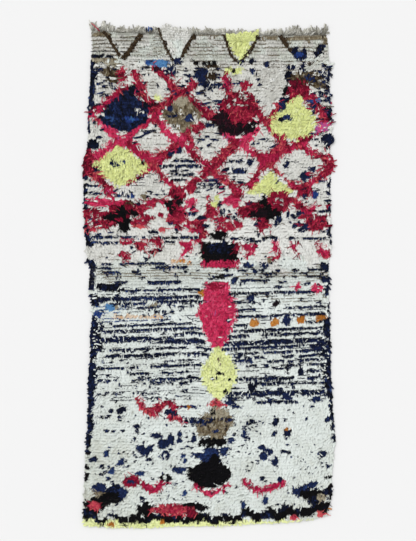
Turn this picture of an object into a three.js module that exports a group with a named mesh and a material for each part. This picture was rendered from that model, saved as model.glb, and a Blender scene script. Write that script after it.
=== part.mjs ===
// An azilal rug: a Berber rug knotted by hand in thick wool on a loose, uneven foundation, lying
// flat on a floor. Millimetres, +Z up. The origin is on the floor under the middle of the rug, +Y
// runs along it to the end with the warp fringe, and +X across it, to the right seen from above.
import * as THREE from "three";

// Driving sizes
const rowCount = 115; // rows of knots, 20 mm apart on average
const pileTop = 13; // mean height of the lying pile
const rimTop = 5; // height of the woven edge, where the pile thins out
const ribRise = 1.5; // a row stands this much above the mean, and the gap between rows below it
const lumpRise = 1.5; // slow swellings of a hand-made pile
const endRows = 5; // rows at the fringed end that are woven flatter, with little pile
const endShare = 0.6; // their height, as a share of the pile's
const halfWidth = 565; // of the rug, on average
const seamGap = 0.3; // between the body and the fringe's strip

// The side edges, from the lower end up: how far each lies from the middle line
const sides = [
  { y: -1190, left: 578, right: 530 },
  { y: -1150, left: 582, right: 556 },
  { y: -1095, left: 584, right: 570 },
  { y: -1000, left: 579, right: 573 },
  { y: -910, left: 575, right: 583 },
  { y: -840, left: 573, right: 591 },
  { y: -770, left: 571, right: 583 },
  { y: -675, left: 562, right: 576 },
  { y: -560, left: 561, right: 569 },
  { y: -465, left: 560, right: 565 },
  { y: -370, left: 551, right: 565 },
  { y: -280, left: 552, right: 562 },
  { y: -200, left: 545, right: 561 },
  { y: -140, left: 544, right: 556 },
  { y: -45, left: 561, right: 561 },
  { y: 15, left: 555, right: 557 },
  { y: 60, left: 566, right: 559 },
  { y: 140, left: 573, right: 567 },
  { y: 235, left: 580, right: 568 },
  { y: 350, left: 580, right: 563 },
  { y: 440, left: 582, right: 568 },
  { y: 505, left: 588, right: 583 },
  { y: 560, left: 573, right: 563 },
  { y: 610, left: 564, right: 561 },
  { y: 700, left: 563, right: 573 },
  { y: 770, left: 562, right: 564 },
  { y: 865, left: 555, right: 561 },
  { y: 955, left: 553, right: 563 },
  { y: 1050, left: 543, right: 556 },
  { y: 1145, left: 551, right: 543 },
];

// The lower end, and the upper end, where the strip of the fringe meets the body
const lowerEnd = [
  { x: -585, y: -1170 },
  { x: -420, y: -1176 },
  { x: -280, y: -1178 },
  { x: -95, y: -1169 },
  { x: 95, y: -1169 },
  { x: 210, y: -1158 },
  { x: 375, y: -1153 },
  { x: 470, y: -1143 },
  { x: 540, y: -1124 },
  { x: 580, y: -1090 },
];
const upperEnd = [
  { x: -560, y: 1143 },
  { x: -400, y: 1135 },
  { x: -190, y: 1128 },
  { x: 10, y: 1126 },
  { x: 370, y: 1122 },
  { x: 560, y: 1124 },
];

// The rows climb to the right on both sides of the middle line, most of all here
const slant = { y: -305, reach: 290, rise: 13, dropWidth: 90 };

// Where the grid of the body has its lines across the rug, from its left side to its right
const columns = [0, 0.02, 0.12, 0.23, 0.34, 0.44, 0.56, 0.66, 0.77, 0.88, 0.98, 1];

// Locks of pile at the rim and cut warp ends at the fringe, all lying on the floor. Each stands
// on one stretch of the rim, and reaches out from it.
const sideLocks = { everyRows: 2, reach: [6, 15], lean: 0.35, droop: -0.3 };
const lowerLocks = { count: 59, width: 0.56, reach: [7, 15], lean: 0.4, droop: 0 };
const warpEnds = { count: 72, width: 0.58, sway: 0.22, shiver: 0.06 };
const strip = { width: 11, top: 5 };
const fringeReach = [
  { x: -560, length: 30 },
  { x: -490, length: 33 },
  { x: -430, length: 22 },
  { x: -210, length: 20 },
  { x: 10, length: 18 },
  { x: 180, length: 14 },
  { x: 280, length: 17 },
  { x: 380, length: 29 },
  { x: 490, length: 30 },
  { x: 560, length: 38 },
];

// The sections of a lock after its root: shares of its reach, of its root's width and height
const lockSections = [
  { along: 0.6, wide: 0.85, high: 0.85 },
  { along: 1, wide: 0.35, high: 0.4 },
];
const lockCrown = 0.7; // a lock is this much narrower along its top than on the floor

// Smooth reading of a table between its rows
function read(table, key, at, value) {
  const last = table.length - 1;
  if (at <= table[0][key]) return table[0][value];
  if (at >= table[last][key]) return table[last][value];
  const i = table.findIndex((row) => row[key] > at);
  const share = (at - table[i - 1][key]) / (table[i][key] - table[i - 1][key]);
  const eased = THREE.MathUtils.smoothstep(share, 0, 1);
  return THREE.MathUtils.lerp(table[i - 1][value], table[i][value], eased);
}

// A repeatable sequence of numbers from 0 to 1
function chance(seed) {
  let state = seed;
  return () => {
    state = (state * 1664525 + 1013904223) % 4294967296;
    return state / 4294967296;
  };
}

// How far the slanting rows lie above or below their place
function rowDrift(x, y) {
  const near = Math.exp(-(((y - slant.y) / slant.reach) ** 2));
  const half = x < 0 ? x / halfWidth + 0.5 : x / halfWidth - 0.5;
  const drop = THREE.MathUtils.smoothstep(Math.abs(x), 0, slant.dropWidth);
  return 2 * slant.rise * near * half * drop;
}

// The point at a share across the body and a share up it, seen from above
function place(across, up) {
  const nominal = THREE.MathUtils.lerp(lowerEnd[4].y, upperEnd[3].y, up);
  const left = -read(sides, "y", nominal, "left");
  const right = read(sides, "y", nominal, "right");
  const x = THREE.MathUtils.lerp(left, right, across);
  const low = read(lowerEnd, "x", x, "y");
  const high = read(upperEnd, "x", x, "y");
  const y = THREE.MathUtils.lerp(low, high, up);
  return { x, y: y + rowDrift(x, y) * 4 * up * (1 - up) };
}

// The pile's height over the floor on one line of the grid, which is a row's crest if it is odd
function pileHeight({ x, y }, line) {
  const crest = line % 2 ? ribRise : -ribRise;
  const lump =
    Math.sin(x / 91 + 1.4 * Math.sin(y / 133)) * Math.cos(y / 117 - x / 270) +
    0.6 * Math.sin(y / 41 + x / 67) +
    0.5 * Math.sin(2.4 * line + x / 19);
  const intoEnd = THREE.MathUtils.smoothstep(line / 2, rowCount - endRows - 2, rowCount - endRows);
  const flatter = THREE.MathUtils.lerp(1, endShare, intoEnd);
  return (pileTop + crest + lumpRise * lump) * flatter;
}

// Triangles between two rows of points that both run to the right, the second above the first
function joinRows(lower, upper) {
  const triangles = [];
  let [i, j] = [0, 0];
  while (i < lower.length - 1 || j < upper.length - 1) {
    const upperDone = j === upper.length - 1;
    if (upperDone || (i < lower.length - 1 && lower[i + 1].across <= upper[j + 1].across)) {
      triangles.push([lower[i], lower[i + 1], upper[j]]);
      i += 1;
    } else {
      triangles.push([lower[i], upper[j + 1], upper[j]]);
      j += 1;
    }
  }
  return triangles;
}

// The pairs of points that a lock has after its root, which is the rim's stretch from p to q
function lockPairs(p, q, { reach, lean, bend }) {
  const root = new THREE.Vector2((p.x + q.x) / 2, (p.y + q.y) / 2);
  const half = new THREE.Vector2((q.x - p.x) / 2, (q.y - p.y) / 2);
  const out = new THREE.Vector2(half.y, -half.x).normalize();
  const origin = new THREE.Vector2();
  return lockSections.map(({ along, wide, high }) => {
    const turn = lean + bend * along;
    const middle = out.clone().rotateAround(origin, turn).multiplyScalar(reach * along).add(root);
    const side = half.clone().rotateAround(origin, turn).multiplyScalar(wide);
    return [-1, 1].map((sign) => ({
      x: middle.x + sign * side.x * lockCrown,
      y: middle.y + sign * side.y * lockCrown,
      z: p.z * high,
      foot: { x: middle.x + sign * side.x, y: middle.y + sign * side.y, z: 0 },
    }));
  });
}

// A closed solid that lies flat on the floor under rows of points, from its lower row to its
// upper one. A point on the rim may carry a lock, on the stretch to the next point of the rim.
function layFlat(rows) {
  const triangles = [];
  const [lower, upper] = [rows[0], rows[rows.length - 1]];
  const inner = rows.slice(1, -1);
  const rim = [
    ...lower,
    ...inner.map((row) => row[row.length - 1]),
    ...upper.toReversed(),
    ...inner.map((row) => row[0]).toReversed(),
  ];
  for (const point of rim) point.foot = { x: point.x, y: point.y, z: 0, across: point.across };
  const feet = rows.map((row) => row.filter((point) => point.foot).map((point) => point.foot));
  for (let i = 0; i < rows.length - 1; i++) {
    triangles.push(...joinRows(rows[i], rows[i + 1]));
    triangles.push(...joinRows(feet[i], feet[i + 1]).map((corners) => corners.toReversed()));
  }
  const wall = (p, q) => triangles.push([p.foot, q.foot, q], [p.foot, q, p]);
  rim.forEach((p, i) => {
    const q = rim[(i + 1) % rim.length];
    if (!p.lock) {
      wall(p, q);
      return;
    }
    const pairs = [[p, q], ...lockPairs(p, q, p.lock)];
    for (let k = 0; k < pairs.length - 1; k++) {
      const [[a, b], [c, d]] = [pairs[k], pairs[k + 1]];
      triangles.push([a, c, d], [a, d, b]);
      triangles.push([a.foot, d.foot, c.foot], [a.foot, b.foot, d.foot]);
      wall(a, c);
      wall(d, b);
    }
    wall(...pairs[pairs.length - 1]);
  });
  const corners = triangles.flat().flatMap(({ x, y, z }) => [x, y, z]);
  return new THREE.BufferGeometry().setAttribute(
    "position",
    new THREE.Float32BufferAttribute(corners, 3),
  );
}

// Shares across the rug of the two ends of each root, for evenly spread locks
function rootShares(count, width) {
  const shares = [];
  for (let i = 0; i < count; i++) {
    shares.push((i + 0.5 - width / 2) / count, (i + 0.5 + width / 2) / count);
  }
  return shares;
}

function bodyGeometry() {
  const next = chance(7);
  const lines = 2 * rowCount;
  const someLock = ({ reach, lean, droop }) => ({
    reach: THREE.MathUtils.lerp(...reach, next()),
    lean: lean * (next() - 0.5) + droop,
    bend: lean * (next() - 0.5),
  });
  const lowerRow = [0, ...rootShares(lowerLocks.count, lowerLocks.width), 1].map((across, i) => ({
    ...place(across, 0),
    z: rimTop,
    across,
    lock: i % 2 ? someLock(lowerLocks) : null,
  }));
  lowerRow[lowerRow.length - 1].lock = null;
  const rows = [lowerRow];
  for (let line = 1; line <= lines; line++) {
    const row = columns.map((across) => {
      const at = place(across, line / lines);
      const onRim = across === 0 || across === 1 || line === lines;
      return { ...at, z: onRim ? rimTop : pileHeight(at, line), across };
    });
    rows.push(row);
    const spaced = line % (2 * sideLocks.everyRows) === 1;
    if (spaced && line < lines - 2 * endRows) {
      row[row.length - 1].lock = someLock(sideLocks);
      row[0].lock = someLock({ ...sideLocks, droop: -sideLocks.droop });
    }
  }
  return layFlat(rows);
}

// The strip that the last weft makes across the warp, with the cut warp ends beyond it
function fringeGeometry() {
  const inner = columns.map((across) => {
    const { x, y } = place(across, 1);
    return { x, y: y + seamGap, z: strip.top, across };
  });
  const outer = [0, ...rootShares(warpEnds.count, warpEnds.width), 1].map((across, i) => {
    const { x, y } = place(across, 1);
    const end = i / 2;
    const lock = {
      reach: read(fringeReach, "x", x, "length") * (1 + 0.15 * Math.sin(end * 2.3)),
      lean: warpEnds.sway * Math.sin(end * 0.45) + warpEnds.shiver * Math.sin(end * 1.9),
      bend: warpEnds.sway * Math.sin(end * 0.33),
    };
    const root = i > 0 && i % 2 === 0;
    return { x, y: y + seamGap + strip.width, z: strip.top, across, lock: root ? lock : null };
  });
  return layFlat([inner, outer]);
}

const pileWool = new THREE.MeshStandardMaterial({ color: 0xd3d5cc, roughness: 0.95, metalness: 0 });
const warpWool = new THREE.MeshStandardMaterial({ color: 0xa9a59b, roughness: 0.95, metalness: 0 });

const rugBody = new THREE.Mesh(bodyGeometry(), pileWool);
rugBody.name = "rug_body";
const warpFringe = new THREE.Mesh(fringeGeometry(), warpWool);
warpFringe.name = "warp_fringe";

const rug = new THREE.Group();
rug.add(rugBody, warpFringe);
export default rug;
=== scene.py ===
import math
from functools import partial
import bpy
import numpy as np
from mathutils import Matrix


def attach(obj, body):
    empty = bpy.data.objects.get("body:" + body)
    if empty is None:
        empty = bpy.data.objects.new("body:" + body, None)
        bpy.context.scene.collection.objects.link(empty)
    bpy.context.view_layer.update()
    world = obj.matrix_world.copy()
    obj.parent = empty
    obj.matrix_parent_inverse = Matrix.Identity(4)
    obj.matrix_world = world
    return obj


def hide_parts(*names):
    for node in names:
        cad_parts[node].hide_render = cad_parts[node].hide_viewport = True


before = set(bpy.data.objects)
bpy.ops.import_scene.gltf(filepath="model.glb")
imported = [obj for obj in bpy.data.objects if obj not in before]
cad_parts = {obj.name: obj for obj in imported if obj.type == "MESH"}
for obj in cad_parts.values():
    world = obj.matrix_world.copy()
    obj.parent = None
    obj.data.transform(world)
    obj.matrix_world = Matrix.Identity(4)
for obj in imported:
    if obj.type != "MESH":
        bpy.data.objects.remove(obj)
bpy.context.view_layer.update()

# A knotted shag rug with a flat upper band, lying on the floor.
# The rug's own places are in metres, and its chart is in centimetres.
print("frame loaded")


# helpers

def linear(hexColour):
    # sRGB hex to linear colour, as Blender's sockets want it
    parts = [int(hexColour[i:i + 2], 16) / 255 for i in (1, 3, 5)]
    return [p / 12.92 if p <= 0.04045 else ((p + 0.055) / 1.055) ** 2.4 for p in parts] + [1.0]


def addNode(tree, kind, inputs=None, **settings):
    # a value that is a socket, or a node with its first output, is linked, and all else is set
    node = tree.nodes.new(kind)
    for name, value in settings.items():
        setattr(node, name, value)
    for name, value in (inputs or {}).items():
        if isinstance(value, bpy.types.Node):
            value = value.outputs[0]
        if isinstance(value, bpy.types.NodeSocket):
            tree.links.new(value, node.inputs[name])
        else:
            node.inputs[name].default_value = value
    return node


def smooth(t):
    return t * t * (3 - 2 * t)


def fade(t):
    # 0 below 0 and 1 above 1, eased between them
    return smooth(np.clip(t, 0, 1))


def between(rows, at):
    # reads a table of (place, value) rows, eased from one row to the next
    place = np.array([row[0] for row in rows], float)
    value = np.array([row[1] for row in rows], float)
    at = np.clip(at, place[0], place[-1])
    low = np.clip(np.searchsorted(place, at, side="right") - 1, 0, len(place) - 2)
    share = smooth((at - place[low]) / (place[low + 1] - place[low]))
    return value[low] + (value[low + 1] - value[low]) * share


def cloud(x, y, size, seed):
    # soft hills from -1 to 1, about size apart, the same in every run
    heights = np.random.default_rng(seed).uniform(-1, 1, (512, 512))
    gridX, gridY = x / size + 200, y / size + 200
    column, row = np.floor(gridX).astype(int) % 511, np.floor(gridY).astype(int) % 511
    shareX, shareY = smooth(gridX % 1), smooth(gridY % 1)
    lower = heights[row, column] * (1 - shareX) + heights[row, column + 1] * shareX
    upper = heights[row + 1, column] * (1 - shareX) + heights[row + 1, column + 1] * shareX
    return lower * (1 - shareY) + upper * shareY


# the rug's outline and rows, as its solid has them

rug = {
    "halfWidth": 0.565,
    "groundTop": 0.004,
    "slant": {"y": -0.305, "reach": 0.29, "rise": 0.013, "dropWidth": 0.09},
}

leftSide = [
    (-1.19, 0.578), (-1.15, 0.582), (-1.095, 0.584), (-1, 0.579), (-0.91, 0.575), (-0.84, 0.573),
    (-0.77, 0.571), (-0.675, 0.562), (-0.56, 0.561), (-0.465, 0.56), (-0.37, 0.551), (-0.28, 0.552),
    (-0.2, 0.545), (-0.14, 0.544), (-0.045, 0.561), (0.015, 0.555), (0.06, 0.566), (0.14, 0.573),
    (0.235, 0.58), (0.35, 0.58), (0.44, 0.582), (0.505, 0.588), (0.56, 0.573), (0.61, 0.564),
    (0.7, 0.563), (0.77, 0.562), (0.865, 0.555), (0.955, 0.553), (1.05, 0.543), (1.145, 0.551),
]
rightSide = [
    (-1.19, 0.53), (-1.15, 0.556), (-1.095, 0.57), (-1, 0.573), (-0.91, 0.583), (-0.84, 0.591),
    (-0.77, 0.583), (-0.675, 0.576), (-0.56, 0.569), (-0.465, 0.565), (-0.37, 0.565), (-0.28, 0.562),
    (-0.2, 0.561), (-0.14, 0.556), (-0.045, 0.561), (0.015, 0.557), (0.06, 0.559), (0.14, 0.567),
    (0.235, 0.568), (0.35, 0.563), (0.44, 0.568), (0.505, 0.583), (0.56, 0.563), (0.61, 0.561),
    (0.7, 0.573), (0.77, 0.564), (0.865, 0.561), (0.955, 0.563), (1.05, 0.556), (1.145, 0.543),
]
lowerEnd = [
    (-0.585, -1.17), (-0.42, -1.176), (-0.28, -1.178), (-0.095, -1.169), (0.095, -1.169),
    (0.21, -1.158), (0.375, -1.153), (0.47, -1.143), (0.54, -1.124), (0.58, -1.09),
]
upperEnd = [(-0.56, 1.143), (-0.4, 1.135), (-0.19, 1.128), (0.01, 1.126), (0.37, 1.122), (0.56, 1.124)]
lowerY, upperY = lowerEnd[4][1], upperEnd[3][1]
# how far in the outermost roots stand, as a share of the rug's width
rimShare = 0.004


def leftEdge(y):
    return between(leftSide, y)


def rightEdge(y):
    return between(rightSide, y)


def rowDrift(x, y):
    # the rows climb to the right on each half of the rug, most near the lower middle
    slant = rug["slant"]
    half = np.where(x < 0, x / rug["halfWidth"] + 0.5, x / rug["halfWidth"] - 0.5)
    drop = fade(np.abs(x) / slant["dropWidth"])
    return 2 * slant["rise"] * np.exp(-((y - slant["y"]) / slant["reach"]) ** 2) * half * drop


def place(across, up):
    # a point of the rug from its share across (0 left to 1 right) and up (0 lower end to 1)
    nominal = lowerY + (upperY - lowerY) * up
    left, right = -leftEdge(nominal), rightEdge(nominal)
    x = left + (right - left) * across
    low, high = between(lowerEnd, x), between(upperEnd, x)
    y = low + (high - low) * up
    return x, y + rowDrift(x, y) * 4 * up * (1 - up)


def rowWaver(x, level):
    # how far a row wanders from its line, in cm, and more in the flat band
    return (0.12 + 0.16 * fade((level - 98) / 3)) * cloud(x, level * 1.3, 5, 45)


def lump(x, y):
    # how the pile swells and sinks, in shares of its rise
    hills = np.sin(x / 0.091 + 1.4 * np.sin(y / 0.133)) * np.cos(y / 0.117 - x / 0.27)
    return hills + 0.6 * np.sin(y / 0.041 + x / 0.067)


# the chart: what yarn each knot has, in centimetres from the rug's middle

yarns = ["ivory", "navy", "crimson", "rose", "yellow", "taupe", "black", "blue", "orange", "cream"]


def isPlain(yarn):
    # the undyed white wools that the chart's colours stand on
    return (yarn == yarns.index("ivory")) | (yarn == yarns.index("cream"))


# arms of the lattice and the strokes, in the order they are laid. Each group has one yarn, and a
# row is its shade, its width and the points it runs through
armGroups = [
    # the upper part's diamonds
    ("crimson", [
        (0.45, 4.8, [(-41.4, 93.4), (-39.4, 89), (-41.8, 84.4), (-46, 81)]),
        (0.55, 4.0, [(-46, 81.4), (-50.2, 77.4), (-53.5, 75.3), (-57.5, 75)]),
        (0.45, 4.4, [(-35, 93.2), (-33.4, 89.5), (-31.9, 83.5)]),
        (0.45, 3.0, [(-31.6, 84.5), (-29.2, 80.5), (-26.8, 78)]),
        (0.5, 3.6, [(-28, 79.5), (-26, 75), (-25, 71.5)]),
        (0.6, 3.0, [(-56, 75), (-52, 72.2), (-48.5, 69.3)]),
        (0.6, 3.6, [(-26.5, 72.8), (-31.5, 69), (-36, 66)]),
        (0.5, 3.8, [(-25.6, 96), (-20, 91.2), (-15.8, 87)]),
        (0.45, 4.6, [(-17.5, 87), (-12.2, 83.6), (-7.5, 79.9), (-2.8, 76.2), (1.8, 74)]),
        (0.5, 3.0, [(-8.2, 89.2), (-10.6, 86.2)]), (0.5, 2.4, [(-5.6, 88.2), (-9, 86.6)]),
        (0.5, 4.6, [(-12.5, 84.6), (-17.6, 82), (-22, 78.6), (-25.5, 74.6)]),
        (0.45, 3.4, [(-3, 73.5), (2.5, 72)]), (0.5, 1.4, [(7.4, 95), (7.6, 90.5)]),
        (0.5, 3.4, [(7.8, 90.5), (8.2, 86.5), (9.6, 83)]),
        (0.4, 4.4, [(22.5, 76), (25.5, 71.5), (28.5, 68)]),
        (0.5, 3.8, [(37, 81), (32.5, 78), (29, 73.5), (27.5, 70)]),
        (0.5, 3.4, [(28.5, 69.5), (31, 64.5), (34, 61), (36, 58.5)]),
        (0.5, 4.6, [(46, 84), (49, 79.5), (52.5, 75), (57, 72)]),
        (0.45, 4.2, [(53.5, 70.5), (48.5, 65.5), (42, 61.6), (37, 58.6)]),
        (0.5, 4.4, [(-57, 48.5), (-52, 45), (-48.5, 41), (-46.5, 37)]),
        (0.5, 3.6, [(24.5, 49.5), (21.5, 45.5), (18.5, 41.5)]),
        (0.5, 3.4, [(42, 59.6), (47, 57), (54, 54)]), (0.5, 4.2, [(54, 53), (57.5, 51), (56, 49.4)]),
        (0.5, 3.2, [(31, 48.5), (35, 46), (38, 42.5)]),
        (0.45, 3.6, [(54.5, 47.5), (50, 44.5), (45, 41.5), (40, 40.5)]),
    ]),
    ("rose", [
        (0.5, 4.2, [(-49.5, 70), (-45, 66), (-41, 62)]),
        (0.45, 4.6, [(-34.5, 67), (-38.5, 63.8), (-42, 61)]),
        (0.5, 4.4, [(-22, 69), (-18.5, 64.5), (-14, 60)]),
        (0.45, 3.8, [(-8.5, 68.5), (-12, 64), (-16, 60)]), (0.5, 3.8, [(5, 66.8), (10, 63), (13.5, 60)]),
        (0.5, 3.8, [(22, 67.5), (18, 64), (14, 60.5)]),
        (0.45, 4.0, [(-41, 63.5), (-47.5, 59), (-52, 55.5), (-56, 53)]),
    ]),
    ("crimson", [
        (0.5, 2.6, [(-8, 69), (-6, 66)]), (0.5, 2.6, [(-10.5, 67), (-8.4, 63.5), (-7.6, 60)]),
        (0.55, 4.4, [(-37.4, 60), (-33, 56.8), (-28.5, 53.5), (-26, 50)]),
        (0.5, 5.2, [(-15, 59), (-20, 56), (-25, 53)]),
        (0.5, 2.0, [(-27.5, 49.2), (-32, 46.4), (-38, 42.2)]),
        (0.45, 4.6, [(-12.5, 60), (-7, 55.5), (-3.5, 51.5), (1, 47)]),
        (0.5, 3.8, [(-24.5, 48), (-20.5, 45), (-16.5, 41)]),
        (0.45, 3.6, [(-1.5, 46), (-6, 44), (-11.5, 41.5), (-15, 38.5)]),
        (0.45, 5.0, [(12.5, 60), (7, 56.5), (3, 51.5), (0, 48)]),
        (0.5, 4.0, [(2, 46.5), (7, 44.5), (12, 40)]),
    ]),
    ("rose", [(0.4, 3.8, [(15, 60.5), (20, 57.5), (24, 53.5)])]),
    ("crimson", [(0.5, 5.6, [(24, 55), (27, 51), (30.5, 55.5), (34, 60)])]),
    # third row: chevrons under the diamonds
    ("crimson", [
        (0.4, 3.8, [(-43, 33), (-37, 31.6), (-32, 29), (-29, 27.2)]),
        (0.45, 3.2, [(-31.5, 31.4), (-28, 33.4), (-24.5, 34.2), (-20.5, 33)]),
        (0.45, 3.2, [(-20, 33), (-18, 28.5), (-17.4, 25.4), (-14, 22.6)]),
        (0.5, 5.2, [(-17.5, 27), (-12, 24.6), (-8, 22.6), (-4.6, 20.2)]),
        (0.45, 3.4, [(2.4, 31), (-1.5, 27.5), (-4.6, 24), (-6.6, 20.6)]),
        (0.5, 2.2, [(-0.6, 36), (-0.6, 31), (0.5, 28)]), (0.45, 5.2, [(13, 41), (13, 36.6)]),
        (0.4, 3.2, [(29.2, 33.4), (29.8, 36.4), (32.8, 37.4), (35.6, 35), (36, 30.4)]),
        (0.45, 4.0, [(39.8, 34), (43, 31.6), (46.6, 28.6)]),
        (0.55, 2.2, [(49, 31.2), (47, 29.4), (44, 27)]), (0.4, 1.5, [(45, 25.8), (51, 26.3), (57, 27.4)]),
    ]),
    # short strokes between the rows
    ("crimson", [
        (0.5, 2.2, [(-41.5, 14.8), (-36, 14.2), (-31.5, 13.4)]),
        (0.5, 2.9, [(-32, 13.4), (-27.5, 15), (-24, 16.2)]),
        (0.5, 3.2, [(-24.6, 16), (-23.2, 13), (-25, 10.6)]),
        (0.5, 2.1, [(-33.5, 11.6), (-29, 10.6), (-26, 11)]), (0.5, 2.8, [(-40, 9.8), (-39.6, 6.8)]),
        (0.5, 1.6, [(-42.8, 8.2), (-37, 7.8)]),
        (0.45, 2.4, [(-2.2, 18.6), (-4.8, 15.6), (-3, 12), (-3.4, 9.6)]),
        (0.5, 2.2, [(21.6, 13.4), (18.4, 11.6), (15.4, 12.8)]), (0.5, 2, [(20.6, 10.4), (17.2, 8.4)]),
        (0.5, 1.8, [(40.8, 14.8), (38.4, 12.6), (39.8, 10.8)]), (0.5, 1.5, [(42.2, 9.8), (39.6, 8)]),
        (0.5, 2.4, [(32.6, 9), (30.4, 7)]), (0.45, 2.1, [(50.4, 13.8), (53, 11), (56.5, 7.4)]),
        (0.5, 1.4, [(50.2, 10.2), (53.4, 8.6), (56.8, 6)]), (0.5, 1.3, [(53.6, 13.6), (57.6, 11.4)]),
    ]),
    ("rose", [
        (0.3, 2.8, [(-13.6, 14.8), (-10.6, 12.8), (-8.4, 15)]), (0.3, 2.3, [(-12.2, 9.6), (-9.4, 12)]),
        (0.25, 2.8, [(30, 14.6), (31.8, 12.6), (30.4, 10.8)]),
    ]),
    # the lower part's hooks
    ("rose", [
        (0.2, 2.7, [(-31, -98.8), (-26.5, -101.2), (-20, -97)]),
        (0.2, 2.9, [(16, -97), (20, -100), (25, -101.4), (30.5, -99.5), (34.5, -97)]),
        (0.3, 2.2, [(-7.5, -98.5), (0, -103), (9, -98.8)]),
    ]),
    ("crimson", [
        (0.56, 3.5, [(-33.5, -58.5), (-31.4, -62.6), (-26, -65.8), (-22.8, -61.8), (-19.4, -60)]),
        (0.54, 3.6, [(-19.4, -60), (-16, -62.6), (-17.6, -66.8), (-13, -68.4)]),
    ]),
    # the flat band's dark lines, and the bits beside them
    ("taupe", [
        (0.15, 1.8, [(-49.5, 114), (-46.4, 110), (-44.5, 106.5), (-42, 102.6)]),
        (0.15, 1.9, [(-31.2, 112.4), (-34.3, 108.5), (-36.6, 105), (-39.8, 101)]),
        (0.12, 1.2, [(-23.7, 115.5), (-22, 110), (-20.6, 107.4), (-18.4, 103), (-16.9, 100.6)]),
        (0.15, 1.7, [(-6.3, 111.8), (-9, 108.9), (-10.6, 105.6), (-12.6, 101.5)]),
        (0.05, 1.1, [(6.6, 112.4), (8.4, 108), (9.4, 104.4), (10.4, 102), (12.8, 99.5)]),
        (0.05, 1.2, [(23.2, 112), (20.6, 106), (18, 102.8), (15.6, 99.8)]),
        (0.1, 2.2, [(33.2, 111.4), (35.2, 108.6), (36.4, 106.8)]),
        (0.15, 1.8, [(36.8, 105.8), (38.2, 104.6)]), (0.2, 2.6, [(52.2, 112), (54.6, 108.8)]),
        (0.85, 2.6, [(-54, 100), (-47.5, 99), (-42.4, 98.1)]), (0.3, 1.8, [(46, 97.7), (48.4, 99)]),
    ]),
    ("navy", [
        (0.45, 1.2, [(-54.5, 94.8), (-49.5, 93.4), (-44.5, 92)]), (0.35, 1.0, [(-54.5, 92.4), (-50, 91)]),
        (0.2, 3.8, [(50.2, 102.7), (52.3, 105.5)]),
    ]),
]
arms = [(yarn, *row) for yarn, rows in armGroups for row in rows]

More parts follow.
